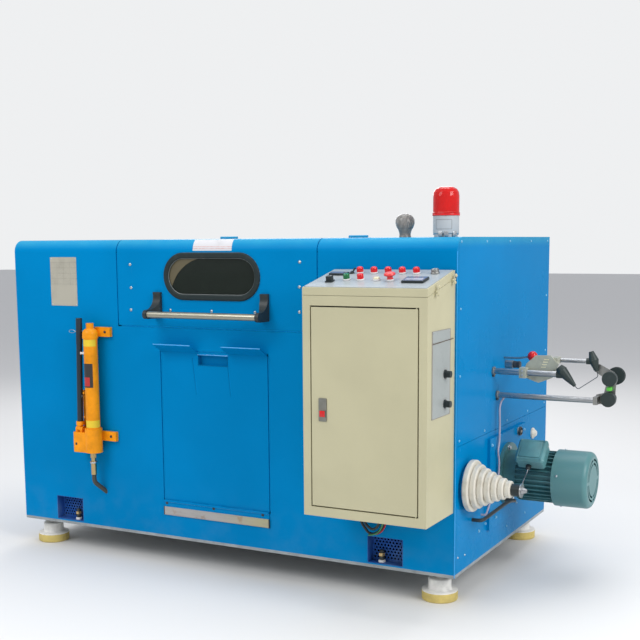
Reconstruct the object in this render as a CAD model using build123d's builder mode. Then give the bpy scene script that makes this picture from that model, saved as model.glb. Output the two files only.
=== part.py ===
"""Wire bunching machine: closed sheet-steel housing on four machine feet, lift-up hood with a
window, fold-down loading door, hand hydraulic pump, control cabinet with a sloping operator
panel, flange motor, stepped cone pulley and wire guide rods on the right end.

Millimetres. X runs along the front from left to right, Y from the front to the back, Z up.
The floor is Z = 0 and the origin is under the middle of the machine.
"""
from build123d import *
from math import atan2, cos, hypot, radians, sin, sqrt, tan
import os

os.makedirs("parts", exist_ok=True)

# Housing
housing_length = 2074
housing_depth = 1147
housing_height = 1250
foot_height = 110
sheet = 4
base_thickness = 12
bend_radius = 50
corner_return = 16
panel_groove = 1.5
seam = 5
right_end = 798
front = -442

left_end = right_end - housing_length
back = front + housing_depth
bottom = foot_height
top = bottom + housing_height
panel_base = bottom + base_thickness
bend_start = top - bend_radius

# Feet
foot_inset_x = 88
foot_inset_y = 80
pad_radius = 68
pad_height = 34
cap_top_radius = 38
cap_height = 36
stud_radius = 12

# Hood
hood_width = 945
hood_from_right = 565
hood_front_height = 355
hood_reach = 650
rim_depth = 25
hood_right = right_end - hood_from_right
hood_left = hood_right - hood_width
hood_bottom = top - hood_front_height
hood_back = front + hood_reach
hinge_barrel_radius = 6
hinge_pin_radius = 3
hinge_length = 90
hinge_inset = 140
pin_clearance = 0.06
knuckle_clearance = 0.6

# Window in the hood
window_width = 457
window_height = 191
gasket_width = 23
gasket_proud = 8
gasket_grip = 11
glass_thickness = 5
window_from_right = 1043
window_centre_drop = 149
gasket_clearance = 0.2
gasket_rounding = 6

# Hood handle
handle_radius = 13.5
handle_stand_off = 70
handle_drop = 302
handle_left_from_right = 1322
handle_right_from_right = 775
bracket_width = 36
bracket_height = 88
bracket_cheek = 16
bracket_foot = 16
bar_clearance = 4
socket_depth = 10
socket_wall = 5

# Loading door
door_width = 510
door_from_right = 787
door_bottom_height = 164
door_head = 100
door_rim = 25
lip_reach = 55
lip_rise = 31
lip_gap = 145
pocket_height = 42
pocket_depth = 22
door_barrel_radius = 4.5
door_pin_radius = 2.2
hinge_leaf = 3
door_leaf_rise = 5
lip_thickness = 3.5
knuckle_count = 7
sill_strip_top_height = 136.5
sill_strip_height = 35.5
sill_strip_thickness = 6
door_right = right_end - door_from_right
door_left = door_right - door_width
door_bottom = bottom + door_bottom_height
door_top = hood_bottom - door_head

# Vent recesses at the foot of the front
vent_width = 148
vent_height = 106
vent_depth = 40
vent_sheet = 3
left_vent_from_right = 1814
right_vent_from_right = 280
vent_centre_height = 70
vent_hole = 9
vent_pitch = 14
screen_thickness = 2

# Data plate on the front
data_plate_from_right = 1801
data_plate_drop = 176
data_plate_width = 144
data_plate_tall = 208

# Hand hydraulic pump on the front
pump_from_right = 1630
pump_stand_off = 45
pump_radius = 29.5
pump_tube_top = 838
cap_collar_radius = 33
cap_collar_height = 22
cap_shoulder_height = 42
filler_radius = 16
filler_height = 64
valve_block_radius = 37
valve_block_low = 348
valve_block_top = 452
lobe_reach = 90
lobe_depth = 76
lobe_low = 348
lobe_top = 434
lobe_rounding = 10
lobe_hole_inset = 19
lobe_hole_height = 384
ear_thickness = 16
ear_hole_radius = 6
ear_hole_inset = 26
upper_ear_height = 864
upper_ear_reach = 81
lower_ear_height = 416
lower_ear_reach = 96
ear_half = 20
side_flange_reach = 65
side_flange_thickness = 28
side_flange_top = 611
lever_offset = 66.5
lever_stand_off = 50
lever_radius = 12.5
lever_lean = 1.7
lever_length = 477
grip_length = 110
grip_growth = 1
lug_radius = 12
lug_width = 14
lug_rise = 16
lever_socket_radius = 17
lever_socket_height = 17
cheek = 10
lever_pin_radius = 5
hose_offset = 5
hose_radius = 9.5
hose_drop = 34
hose_run = (22.4, 45, -44.7)
fitting_radius = 13
fitting_length = 98

# Control cabinet
cabinet_width = 480
cabinet_depth = 258
cabinet_sheet = 3
cabinet_from_right = 7
cabinet_bottom_height = 249
cabinet_front_drop = 174
cabinet_back_drop = 116
lid_height = 27
lid_seam = 1.5
frame_margin = 30
frame_return = 15
cabinet_door_rim = 18
door_frame_top_margin = 35
door_frame_bottom_margin = 34
pivot_inset = 6
pivot_depth = 5
pivot_radius = 3
pivot_seat = 3
latch_inset = 45
latch_drop = 435
latch_width = 32
latch_tall = 84
lid_rear_gap = 5
lid_barrel_radius = 5
lid_pin_radius = 2
lid_hinge_length = 24
lid_leaf = 2
panel_plate = 2
panel_margin = 5
cabinet_right = right_end - cabinet_from_right
cabinet_left = cabinet_right - cabinet_width
cabinet_front = front - cabinet_depth
cabinet_bottom = bottom + cabinet_bottom_height
lid_front_top = top - cabinet_front_drop
lid_back_top = top - cabinet_back_drop
slope = atan2(lid_back_top - lid_front_top, cabinet_depth)
slope_length = hypot(cabinet_depth, lid_back_top - lid_front_top)


def block(x, y, z, mode=Mode.ADD):
    """Box between two corners, given as (low, high) along each axis."""
    with Locations(((x[0] + x[1]) / 2, (y[0] + y[1]) / 2, (z[0] + z[1]) / 2)):
        Box(x[1] - x[0], y[1] - y[0], z[1] - z[0], mode=mode)


def front_plane(y):
    """Sketch plane facing the front at depth y: its x is X and its y is Z."""
    return Plane.XZ.offset(-y)


def end_plane(x):
    """Sketch plane facing right at x: its x is Y and its y is Z."""
    return Plane.YZ.offset(x)


def save(part, node):
    part.part.label = node
    export_step(part.part, f"parts/{node}.step")


def tube_path(points):
    """Path of straight runs joined by tangent arcs, each as large as its two runs allow."""
    runs = [Vector(*b) - Vector(*a) for a, b in zip(points, points[1:])]
    radii = []
    for first, second in zip(runs, runs[1:]):
        turn = radians(first.get_angle(second))
        radii.append(0.45 * min(first.length, second.length) / tan(turn / 2))
    return FilletPolyline(*points, radius=radii)


# Base plate and feet
with BuildPart() as base_plate:
    block((left_end, right_end), (front, back), (bottom, panel_base))
save(base_plate, "base_plate")

foot_places = [
    (x, y)
    for x in (left_end + foot_inset_x, right_end - foot_inset_x)
    for y in (front + foot_inset_y, back - foot_inset_y)
]

with BuildPart() as foot_pads:
    with Locations(*[(x, y, 0) for x, y in foot_places]):
        Cylinder(pad_radius, pad_height, align=(Align.CENTER, Align.CENTER, Align.MIN))
    chamfer(foot_pads.edges().filter_by(GeomType.CIRCLE).group_by(Axis.Z)[0], 3)
save(foot_pads, "foot_pads")

with BuildPart() as foot_caps:
    for x, y in foot_places:
        with BuildSketch(Plane(origin=(x, y, pad_height), x_dir=(1, 0, 0), z_dir=(0, -1, 0))):
            with BuildLine():
                Polyline(
                    (0, 0),
                    (pad_radius - 2, 0),
                    (pad_radius - 2, 0.35 * cap_height),
                    (cap_top_radius, cap_height),
                    (stud_radius, cap_height),
                    (stud_radius, bottom - pad_height),
                    (0, bottom - pad_height),
                    close=True,
                )
            make_face()
        revolve(axis=Axis((x, y, 0), (0, 0, 1)))
save(foot_caps, "foot_caps")


# Front walls on both sides of the doorway, with the return round each end
doorway_left = door_left - seam
doorway_right = door_right + seam
hood_gap_left = hood_left - seam
hood_gap_right = hood_right + seam
hood_gap_bottom = hood_bottom - seam
vent_low = bottom + vent_centre_height - vent_height / 2
vent_high = vent_low + vent_height
left_vent_x = right_end - left_vent_from_right
right_vent_x = right_end - right_vent_from_right

with BuildPart() as front_walls:
    with BuildSketch(front_plane(front)):
        with BuildLine():
            Polyline(
                (left_end, panel_base),
                (doorway_left, panel_base),
                (doorway_left, hood_gap_bottom),
                (hood_gap_left, hood_gap_bottom),
                (hood_gap_left, bend_start),
                (left_end, bend_start),
                close=True,
            )
        make_face()
        with BuildLine():
            Polyline(
                (right_end, panel_base),
                (doorway_right, panel_base),
                (doorway_right, hood_gap_bottom),
                (hood_gap_right, hood_gap_bottom),
                (hood_gap_right, bend_start),
                (right_end, bend_start),
                close=True,
            )
        make_face()
        with Locations(*[(x, bottom + vent_centre_height) for x in (left_vent_x, right_vent_x)]):
            Rectangle(vent_width, vent_height, mode=Mode.SUBTRACT)
    extrude(amount=-sheet)
    for x in ((left_end, left_end + sheet), (right_end - sheet, right_end)):
        block(x, (front + sheet, front + corner_return), (panel_base, bend_start))
save(front_walls, "front_walls")

with BuildPart() as doorway_rails:
    block((doorway_left, doorway_right), (front, front + sheet), (door_top + seam, hood_gap_bottom))
    block((doorway_left, doorway_right), (front, front + sheet), (panel_base, door_bottom - seam))
save(doorway_rails, "doorway_rails")


# Top covers: the front edge is a rounded sheet bend
def bend_outline(y_end):
    """Closed outline, in the end plane, of the bend and the flat top behind it."""
    centre = (front + bend_radius, bend_start)
    with BuildLine() as outline:
        CenterArc(centre, bend_radius, 90, 90)
        Polyline(
            (front + bend_radius, top),
            (y_end, top),
            (y_end, top - sheet),
            (front + bend_radius, top - sheet),
        )
        CenterArc(centre, bend_radius - sheet, 90, 90)
        Line((front + sheet, bend_start), (front, bend_start))
    return outline.edges()


with BuildPart() as top_end_covers:
    for x_from, x_to in ((left_end, hood_gap_left), (hood_gap_right, right_end)):
        with BuildSketch(end_plane(x_from)):
            make_face(bend_outline(back))
        extrude(amount=x_to - x_from)
    for x in (left_end, right_end - sheet):
        with BuildSketch(end_plane(x)):
            with Locations((front + bend_radius, bend_start)):
                Circle(bend_radius - sheet)
            with Locations((front + sheet / 2 + corner_return / 2, bend_start + bend_radius / 2)):
                Rectangle(corner_return - sheet, bend_radius, mode=Mode.INTERSECT)
        extrude(amount=sheet)
save(top_end_covers, "top_end_covers")

hinge_axis_y = hood_back + seam / 2
hinge_axis_z = top + hinge_barrel_radius + 1
hinge_places = [hood_left + hinge_inset, hood_right - hinge_inset]
leaf_thickness = 3
leaf_length = 34


def knuckle(x_low, x_high, bore, leaf_direction):
    """Hinge knuckle along X with a leaf lying on the top sheet, towards -1 front or 1 back."""
    with Locations(Location(((x_low + x_high) / 2, hinge_axis_y, hinge_axis_z), (0, 90, 0))):
        Cylinder(hinge_barrel_radius, x_high - x_low)
    leaf_end = hinge_axis_y + leaf_direction * leaf_length
    leaf_start = hinge_axis_y + leaf_direction * (seam / 2 + 0.5)
    block((x_low, x_high), tuple(sorted((leaf_start, leaf_end))), (top, top + leaf_thickness))
    foot = hinge_axis_y + leaf_direction * (hinge_barrel_radius - 1)
    block((x_low, x_high), tuple(sorted((leaf_start, foot))), (top, hinge_axis_z))
    if bore:
        with Locations(Location(((x_low + x_high) / 2, hinge_axis_y, hinge_axis_z), (0, 90, 0))):
            Cylinder(hinge_pin_radius + pin_clearance, x_high - x_low, mode=Mode.SUBTRACT)


with BuildPart() as top_rear_cover:
    block((hood_gap_left, hood_gap_right), (hood_back + seam, back), (top - sheet, top))
    for x in hinge_places:
        third = hinge_length / 3
        knuckle(x - hinge_length / 2, x - third / 2 - knuckle_clearance, False, 1)
        knuckle(x + third / 2 + knuckle_clearance, x + hinge_length / 2, False, 1)
        with Locations(Location((x, hinge_axis_y, hinge_axis_z), (0, 90, 0))):
            Cylinder(hinge_pin_radius, hinge_length - 2)
save(top_rear_cover, "top_rear_cover")


# End walls and back wall
def end_outline(z_low, z_high):
    """Outline of an end panel: the housing's inner section behind the corner return."""
    y_low = front + corner_return + panel_groove
    y_high = back - sheet
    inner = bend_radius - sheet
    y_bend = front + bend_radius
    with BuildLine() as outline:
        if z_high > bend_start:
            run = y_bend - y_low
            z_cut = bend_start + sqrt(inner**2 - run**2)
            z_mid = bend_start + sqrt(inner**2 - (run / 2) ** 2)
            ThreePointArc((y_low, z_cut), (y_bend - run / 2, z_mid), (y_bend, top - sheet))
            Polyline(
                (y_bend, top - sheet),
                (y_high, top - sheet),
                (y_high, z_low),
                (y_low, z_low),
                (y_low, z_cut),
            )
        else:
            Polyline((y_low, z_low), (y_high, z_low), (y_high, z_high), (y_low, z_high), close=True)
    return outline.edges()


lower_panel_height = 490
panel_split = bottom + lower_panel_height

with BuildPart() as left_end_wall:
    with BuildSketch(end_plane(left_end)):
        make_face(end_outline(panel_base, top))
    extrude(amount=sheet)
save(left_end_wall, "left_end_wall")

with BuildPart() as right_upper_panel:
    with BuildSketch(end_plane(right_end - sheet)):
        make_face(end_outline(panel_split + panel_groove, top))
    extrude(amount=sheet)
save(right_upper_panel, "right_upper_panel")

# Cone pulley place and its bearing flange on the lower end panel
cone_from_front = 120
cone_height = 330
cone_y = front + cone_from_front
cone_z = bottom + cone_height
cone_flange_radius = 72
cone_flange_thickness = 8
cone_shaft_radius = 15
running_clearance = 0.06

with BuildPart() as right_lower_panel:
    with BuildSketch(end_plane(right_end - sheet)):
        make_face(end_outline(panel_base, panel_split))
    extrude(amount=sheet)
    with BuildSketch(end_plane(right_end)):
        with Locations((cone_y, cone_z)):
            Circle(cone_flange_radius)
    extrude(amount=cone_flange_thickness)
    with BuildSketch(end_plane(right_end + cone_flange_thickness)):
        with Locations((cone_y, cone_z)):
            Circle(cone_shaft_radius + running_clearance)
    extrude(amount=-(cone_flange_thickness + sheet), mode=Mode.SUBTRACT)
save(right_lower_panel, "right_lower_panel")

with BuildPart() as back_wall:
    block((left_end, right_end), (back - sheet, back), (panel_base, top - sheet))
save(back_wall, "back_wall")


# Hood: one pressed cover that forms the upper front, the bend and the top
def hood_band(depth_from, depth_to, y_end, z_low):
    """L-shaped outline, in the end plane, between two depths behind the hood's outer skin."""
    centre = (front + bend_radius, bend_start)
    with BuildLine() as outline:
        CenterArc(centre, bend_radius - depth_from, 90, 90)
        Polyline(
            (front + bend_radius, top - depth_from),
            (y_end, top - depth_from),
            (y_end, top - depth_to),
            (front + bend_radius, top - depth_to),
        )
        CenterArc(centre, bend_radius - depth_to, 90, 90)
        Polyline(
            (front + depth_to, bend_start),
            (front + depth_to, z_low),
            (front + depth_from, z_low),
            (front + depth_from, bend_start),
        )
    return outline.edges()


window_x = right_end - window_from_right
window_z = top - window_centre_drop

with BuildPart() as hood:
    with BuildSketch(end_plane(hood_left)):
        make_face(hood_band(0, rim_depth, hood_back, hood_bottom))
    extrude(amount=hood_width)
    with BuildSketch(end_plane(hood_left + sheet)):
        make_face(hood_band(sheet, rim_depth, hood_back - sheet, hood_bottom + sheet))
    extrude(amount=hood_width - 2 * sheet, mode=Mode.SUBTRACT)
    with BuildSketch(front_plane(front)):
        with Locations((window_x, window_z)):
            SlotOverall(
                window_width - 2 * gasket_grip,
                window_height - 2 * gasket_grip,
            )
    extrude(amount=-sheet, mode=Mode.SUBTRACT)
    for x in hinge_places:
        knuckle(x - hinge_length / 6, x + hinge_length / 6, True, -1)
save(hood, "hood")

with BuildPart() as window_gasket:
    with BuildSketch(front_plane(front)):
        with Locations((window_x, window_z)):
            SlotOverall(window_width, window_height)
    extrude(amount=gasket_proud)
    with BuildSketch(front_plane(front)):
        with Locations((window_x, window_z)):
            SlotOverall(
                window_width - 2 * gasket_grip - 2 * gasket_clearance,
                window_height - 2 * gasket_grip - 2 * gasket_clearance,
            )
    extrude(amount=-(sheet + gasket_clearance))
    with BuildSketch(front_plane(front + sheet + gasket_clearance)):
        with Locations((window_x, window_z)):
            SlotOverall(window_width - 8, window_height - 8)
    extrude(amount=-glass_thickness - 3)
    with BuildSketch(front_plane(front - gasket_proud)):
        with Locations((window_x, window_z)):
            SlotOverall(window_width - 2 * gasket_width, window_height - 2 * gasket_width)
    extrude(amount=-(gasket_proud + sheet + glass_thickness + 10), mode=Mode.SUBTRACT)
    fillet(window_gasket.edges().group_by(Axis.Y)[0], gasket_rounding)
    with BuildSketch(front_plane(front + sheet)):
        with Locations((window_x, window_z)):
            SlotOverall(
                window_width - 2 * gasket_width + 12,
                window_height - 2 * gasket_width + 12,
            )
    extrude(amount=-glass_thickness - 2 * gasket_clearance, mode=Mode.SUBTRACT)
save(window_gasket, "window_gasket")

with BuildPart() as window_glass:
    with BuildSketch(front_plane(front + sheet + gasket_clearance)):
        with Locations((window_x, window_z)):
            SlotOverall(
                window_width - 2 * gasket_width + 12 - 2 * gasket_clearance,
                window_height - 2 * gasket_width + 12 - 2 * gasket_clearance,
            )
    extrude(amount=-glass_thickness)
save(window_glass, "window_glass")

# Handle across the hood: a tube between two moulded brackets
handle_z = top - handle_drop
handle_y = front - handle_stand_off
left_bracket_x = right_end - handle_left_from_right
right_bracket_x = right_end - handle_right_from_right
nose = handle_radius + socket_wall

with BuildPart() as handle_brackets:
    for outer, inward in ((left_bracket_x, 1), (right_bracket_x, -1)):
        with BuildSketch(end_plane(outer)):
            bracket_top = handle_z + bracket_height
            with BuildLine():
                Polyline(
                    (front, handle_z - nose),
                    (front, bracket_top),
                    (front - 14, bracket_top),
                )
                ThreePointArc(
                    (front - 14, bracket_top),
                    (front - 24, handle_z + 0.42 * bracket_height),
                    (handle_y, handle_z + nose),
                )
                ThreePointArc(
                    (handle_y, handle_z + nose),
                    (handle_y - nose, handle_z),
                    (handle_y, handle_z - nose),
                )
                Line((handle_y, handle_z - nose), (front, handle_z - nose))
            make_face()
        extrude(amount=inward * bracket_width)
    with BuildSketch(Plane.XY.offset(handle_z - nose)):
        for outer, inward in ((left_bracket_x, 1), (right_bracket_x, -1)):
            with BuildLine():
                Polyline(
                    (outer, front),
                    (outer + inward * bracket_width, front),
                    (outer + inward * bracket_width, front - bracket_foot),
                    (outer + inward * bracket_cheek, handle_y + handle_radius + bar_clearance),
                    (outer + inward * bracket_cheek, handle_y - nose),
                    (outer, handle_y - nose),
                    close=True,
                )
            make_face()
    extrude(amount=nose + bracket_height, mode=Mode.INTERSECT)
    with Locations(
        Location(
            ((left_bracket_x + right_bracket_x) / 2, handle_y, handle_z), (0, 90, 0)
        )
    ):
        Cylinder(
            handle_radius + gasket_clearance,
            right_bracket_x - left_bracket_x - 2 * (bracket_cheek - socket_depth),
            mode=Mode.SUBTRACT,
        )
save(handle_brackets, "handle_brackets")

with BuildPart() as handle_bar:
    with Locations(
        Location(
            ((left_bracket_x + right_bracket_x) / 2, handle_y, handle_z), (0, 90, 0)
        )
    ):
        Cylinder(
            handle_radius,
            right_bracket_x - left_bracket_x - 2 * (bracket_cheek - socket_depth) - 0.4,
        )
save(handle_bar, "handle_bar")


# Loading door: a pan with a flared grip lip along the top and a hand pocket in the middle
door_axis_y = front - door_barrel_radius - 0.5
door_axis_z = door_bottom - seam / 2
door_middle = (door_left + door_right) / 2
pocket_top = door_top - 10
knuckle_length = door_width / knuckle_count
door_knuckles = [
    (door_left + i * knuckle_length, door_left + (i + 1) * knuckle_length)
    for i in range(knuckle_count)
]


def barrel(x_low, x_high, radius, mode=Mode.ADD):
    """Cylinder on the loading door's hinge axis."""
    with Locations(Location(((x_low + x_high) / 2, door_axis_y, door_axis_z), (0, 90, 0))):
        Cylinder(radius, x_high - x_low, mode=mode)


with BuildPart() as loading_door:
    block((door_left, door_right), (front, front + door_rim), (door_bottom, door_top))
    block(
        (door_left + sheet, door_right - sheet),
        (front + sheet, front + door_rim),
        (door_bottom + sheet, door_top - sheet),
        mode=Mode.SUBTRACT,
    )
    block(
        (door_middle - lip_gap / 2 - sheet, door_middle + lip_gap / 2 + sheet),
        (front + sheet, front + pocket_depth + sheet),
        (pocket_top - pocket_height - sheet, pocket_top + sheet),
    )
    block(
        (door_middle - lip_gap / 2, door_middle + lip_gap / 2),
        (front, front + pocket_depth),
        (pocket_top - pocket_height, pocket_top),
        mode=Mode.SUBTRACT,
    )
    for x_low, x_high in (
        (door_left, door_middle - lip_gap / 2),
        (door_middle + lip_gap / 2, door_right),
    ):
        with BuildSketch(end_plane(x_low)):
            with BuildLine():
                Polyline(
                    (front, door_top),
                    (front, door_top - lip_thickness),
                    (front - lip_reach, door_top + lip_rise - lip_thickness),
                    (front - lip_reach, door_top + lip_rise),
                    close=True,
                )
            make_face()
        extrude(amount=x_high - x_low)
    for x_low, x_high in door_knuckles[1::2]:
        low = x_low + knuckle_clearance
        high = x_high - knuckle_clearance
        barrel(low, high, door_barrel_radius)
        block((low, high), (door_axis_y, front), (door_axis_z + 1, door_axis_z + door_barrel_radius))
        block((low, high), (front - hinge_leaf, front), (door_axis_z + 1, door_bottom + door_leaf_rise))
        barrel(low, high, door_pin_radius + pin_clearance, mode=Mode.SUBTRACT)
save(loading_door, "loading_door")

sill_strip_top = bottom + sill_strip_top_height

with BuildPart() as door_hinge:
    for x_low, x_high in door_knuckles[0::2]:
        barrel(x_low, x_high, door_barrel_radius)
        block((x_low, x_high), (door_axis_y, front), (door_axis_z - door_barrel_radius, door_axis_z - 1))
        block(
            (x_low, x_high),
            (front - hinge_leaf, front),
            (door_axis_z - door_barrel_radius - 2, door_axis_z - 1),
        )
    block(
        (door_left, door_right),
        (front - hinge_leaf, front),
        (sill_strip_top, door_axis_z - door_barrel_radius - 1),
    )
    barrel(door_left, door_right, door_pin_radius)
save(door_hinge, "door_hinge")

with BuildPart() as sill_strip:
    block(
        (door_left, door_right),
        (front - sill_strip_thickness, front),
        (sill_strip_top - sill_strip_height, sill_strip_top),
    )
    chamfer(sill_strip.edges().filter_by(Axis.X).group_by(Axis.Y)[0], 1.5)
save(sill_strip, "sill_strip")


# Vent recesses: a folded tray behind each opening, closed by a perforated screen
tray_places = (left_vent_x, right_vent_x)
vent_z = bottom + vent_centre_height
tray_back = front + vent_depth

with BuildPart() as vent_trays:
    for x in tray_places:
        outer_x = (x - vent_width / 2, x + vent_width / 2)
        inner_x = (outer_x[0] + vent_sheet, outer_x[1] - vent_sheet)
        block(outer_x, (front, tray_back), (vent_low, vent_high))
        block(
            inner_x,
            (front, tray_back),
            (vent_low + vent_sheet, vent_high - vent_sheet),
            mode=Mode.SUBTRACT,
        )
save(vent_trays, "vent_trays")

screen_columns = int((vent_width - 2 * vent_sheet - vent_pitch / 2) // vent_pitch)
screen_rows = int((vent_height - 2 * vent_sheet - vent_pitch / 2) // (vent_pitch * 0.87))

with BuildPart() as vent_screens:
    for x in tray_places:
        block(
            (x - vent_width / 2, x + vent_width / 2),
            (tray_back, tray_back + screen_thickness),
            (vent_low, vent_high),
        )
    with BuildSketch(front_plane(tray_back)):
        for x in tray_places:
            for row in range(screen_rows):
                shift = vent_pitch / 4 if row % 2 else -vent_pitch / 4
                z = vent_z + (row - (screen_rows - 1) / 2) * vent_pitch * 0.87
                with Locations((x + shift, z)):
                    with GridLocations(vent_pitch, 1, screen_columns, 1):
                        RegularPolygon(vent_hole / 2, 6)
    extrude(amount=-screen_thickness, mode=Mode.SUBTRACT)
save(vent_screens, "vent_screens")

# Data plate on the front
with BuildPart() as data_plate:
    plate_x = right_end - data_plate_from_right
    plate_z = top - data_plate_drop
    block(
        (plate_x - data_plate_width / 2, plate_x + data_plate_width / 2),
        (front - 1, front),
        (plate_z - data_plate_tall / 2, plate_z + data_plate_tall / 2),
    )
save(data_plate, "data_plate")


# Hand hydraulic pump on the front
pump_x = right_end - pump_from_right
pump_y = front - pump_stand_off
block_low = bottom + valve_block_low
block_top = bottom + valve_block_top
tube_top = bottom + pump_tube_top
lever_x = pump_x - lever_offset
lever_y = front - lever_stand_off
pivot_z = bottom + lobe_top + lug_radius
upper_ear_z = bottom + upper_ear_height
lower_ear_z = bottom + lower_ear_height

with BuildPart() as pump_body:
    with BuildSketch(Plane.XY.offset(block_low)):
        with Locations((pump_x, pump_y)):
            Circle(valve_block_radius)
    extrude(amount=block_top - block_low)
    with BuildSketch(Plane.XY.offset(block_top)):
        with Locations((pump_x, pump_y)):
            Circle(pump_radius)
    extrude(amount=tube_top - block_top)
    with BuildSketch(Plane(origin=(pump_x, pump_y, tube_top), x_dir=(1, 0, 0), z_dir=(0, -1, 0))):
        with BuildLine():
            Line((0, 0), (cap_collar_radius, 0))
            Line((cap_collar_radius, 0), (cap_collar_radius, cap_collar_height))
            ThreePointArc(
                (cap_collar_radius, cap_collar_height),
                (0.85 * cap_collar_radius, 0.8 * cap_shoulder_height),
                (filler_radius, cap_shoulder_height),
            )
            Polyline(
                (filler_radius, cap_shoulder_height),
                (filler_radius, filler_height),
                (0, filler_height),
                (0, 0),
            )
        make_face()
    revolve(axis=Axis((pump_x, pump_y, 0), (0, 0, 1)))
    with BuildSketch(Plane.XY.offset(bottom + lobe_low)):
        with Locations((pump_x - lobe_reach / 2, front - lobe_depth / 2)):
            RectangleRounded(lobe_reach, lobe_depth, lobe_rounding)
    extrude(amount=lobe_top - lobe_low)
    with BuildSketch(front_plane(front - lobe_depth)):
        with Locations((pump_x - lobe_reach + lobe_hole_inset, bottom + lobe_hole_height)):
            Circle(ear_hole_radius)
    extrude(amount=-lobe_depth, mode=Mode.SUBTRACT)
    for ear_x, ear_z in (
        (pump_x + upper_ear_reach, upper_ear_z),
        (pump_x + lower_ear_reach, lower_ear_z),
    ):
        block(
            (pump_x - pump_radius / 2, pump_x + pump_radius / 2),
            (pump_y, front),
            (ear_z - ear_half, min(ear_z + ear_half, tube_top + cap_collar_height)),
        )
        with BuildSketch(front_plane(front)):
            with BuildLine():
                Polyline(
                    (pump_x, ear_z - ear_half),
                    (ear_x, ear_z - ear_half),
                    (ear_x, ear_z + ear_half),
                    (pump_x, ear_z + ear_half),
                    close=True,
                )
            make_face()
            with Locations((ear_x - ear_hole_inset, ear_z)):
                Circle(ear_hole_radius, mode=Mode.SUBTRACT)
        extrude(amount=ear_thickness)
    block(
        (pump_x - side_flange_reach, pump_x),
        (front - side_flange_thickness, front),
        (bottom + lobe_top, bottom + side_flange_top),
    )
    for side in (-1, 1):
        near = lever_x + side * (lug_width / 2 + knuckle_clearance)
        with BuildSketch(end_plane(near)):
            with Locations((lever_y, pivot_z)):
                Circle(lug_radius)
            with Locations((lever_y, pivot_z - lug_radius / 2 - 1)):
                Rectangle(2 * lug_radius, lug_radius + 2)
        extrude(amount=side * cheek)
    with Locations(Location((lever_x, lever_y, pivot_z), (0, 90, 0))):
        Cylinder(lever_pin_radius, lug_width + 2 * cheek + 4)
save(pump_body, "pump_body")

socket_z = pivot_z + lug_rise
socket_floor = 5

with BuildPart() as lever_socket:
    with BuildSketch(end_plane(lever_x - lug_width / 2)):
        with Locations((lever_y, pivot_z)):
            Circle(lug_radius - 1)
        with Locations((lever_y, pivot_z + lug_rise / 2)):
            Rectangle(2 * (lug_radius - 1), lug_rise)
        with Locations((lever_y, pivot_z)):
            Circle(lever_pin_radius + pin_clearance, mode=Mode.SUBTRACT)
    extrude(amount=lug_width)
    with BuildSketch(Plane.XY.offset(socket_z)):
        with Locations((lever_x, lever_y)):
            Circle(lever_socket_radius)
    extrude(amount=lever_socket_height)
    with BuildSketch(Plane.XY.offset(socket_z + socket_floor)):
        with Locations((lever_x, lever_y)):
            Circle(lever_radius + 2 * knuckle_clearance)
    extrude(amount=lever_socket_height, mode=Mode.SUBTRACT)
save(lever_socket, "lever_socket")

lever_way = Vector(sin(radians(lever_lean)), 0, cos(radians(lever_lean)))
lever_plane = Plane(
    origin=(lever_x, lever_y, socket_z + socket_floor),
    x_dir=(cos(radians(lever_lean)), 0, -sin(radians(lever_lean))),
    z_dir=lever_way,
)
bar_length = lever_length - lug_rise - socket_floor

with BuildPart() as pump_lever:
    with BuildSketch(Plane.XY.offset(socket_z + socket_floor)):
        with Locations((lever_x, lever_y)):
            Circle(lever_radius - 1)
    extrude(amount=socket_floor)
    with BuildSketch(lever_plane.offset(socket_floor)):
        Circle(lever_radius)
    extrude(amount=bar_length - socket_floor)
    with BuildSketch(lever_plane.offset(bar_length - grip_length)):
        Circle(lever_radius + grip_growth)
    extrude(amount=grip_length)
    fillet(pump_lever.edges().group_by(Axis.Z)[-1], 3)
save(pump_lever, "pump_lever")

hose_x = pump_x - hose_offset
fitting_top = bottom + min(valve_block_low, lobe_low)
hose_top = fitting_top - fitting_length
hose_start = Vector(hose_x, pump_y, hose_top)
hose_corner = hose_start - Vector(0, 0, hose_drop)
hose_end = hose_corner + Vector(*hose_run) * 1.5

with BuildPart() as hose_fitting:
    for z_low, z_high, radius in (
        (fitting_top - 24, fitting_top, fitting_radius),
        (fitting_top - 40, fitting_top - 24, 0.75 * fitting_radius),
        (fitting_top - 50, fitting_top - 40, 1.1 * fitting_radius),
        (hose_top, fitting_top - 50, 0.9 * fitting_radius),
    ):
        with BuildSketch(Plane.XY.offset(z_low)):
            with Locations((hose_x, pump_y)):
                if radius == fitting_radius:
                    RegularPolygon(radius, 6)
                else:
                    Circle(radius)
        extrude(amount=z_high - z_low)
save(hose_fitting, "hose_fitting")

with BuildPart() as pump_hose:
    with BuildLine():
        tube_path([hose_start, hose_corner, hose_end])
    with BuildSketch(Plane(origin=hose_start, z_dir=(0, 0, -1))):
        Circle(hose_radius)
    sweep()
    block(
        (hose_x - 100, hose_x + 100),
        (front, front + 60),
        (hose_top - 200, hose_top),
        mode=Mode.SUBTRACT,
    )
save(pump_hose, "pump_hose")


# Control cabinet: welded body with a flush door and a sloping lid
def sloped(z_front, y):
    """Height at depth y of the plane that starts at z_front on the cabinet's front."""
    return z_front + (y - cabinet_front) * tan(slope)


def cabinet_section(y_low, y_high, z_low, z_front):
    """Side outline of the cabinet, in the end plane, with a sloping top."""
    with BuildLine() as outline:
        Polyline(
            (y_low, z_low),
            (y_high, z_low),
            (y_high, sloped(z_front, y_high)),
            (y_low, sloped(z_front, y_low)),
            close=True,
        )
    return outline.edges()


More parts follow.
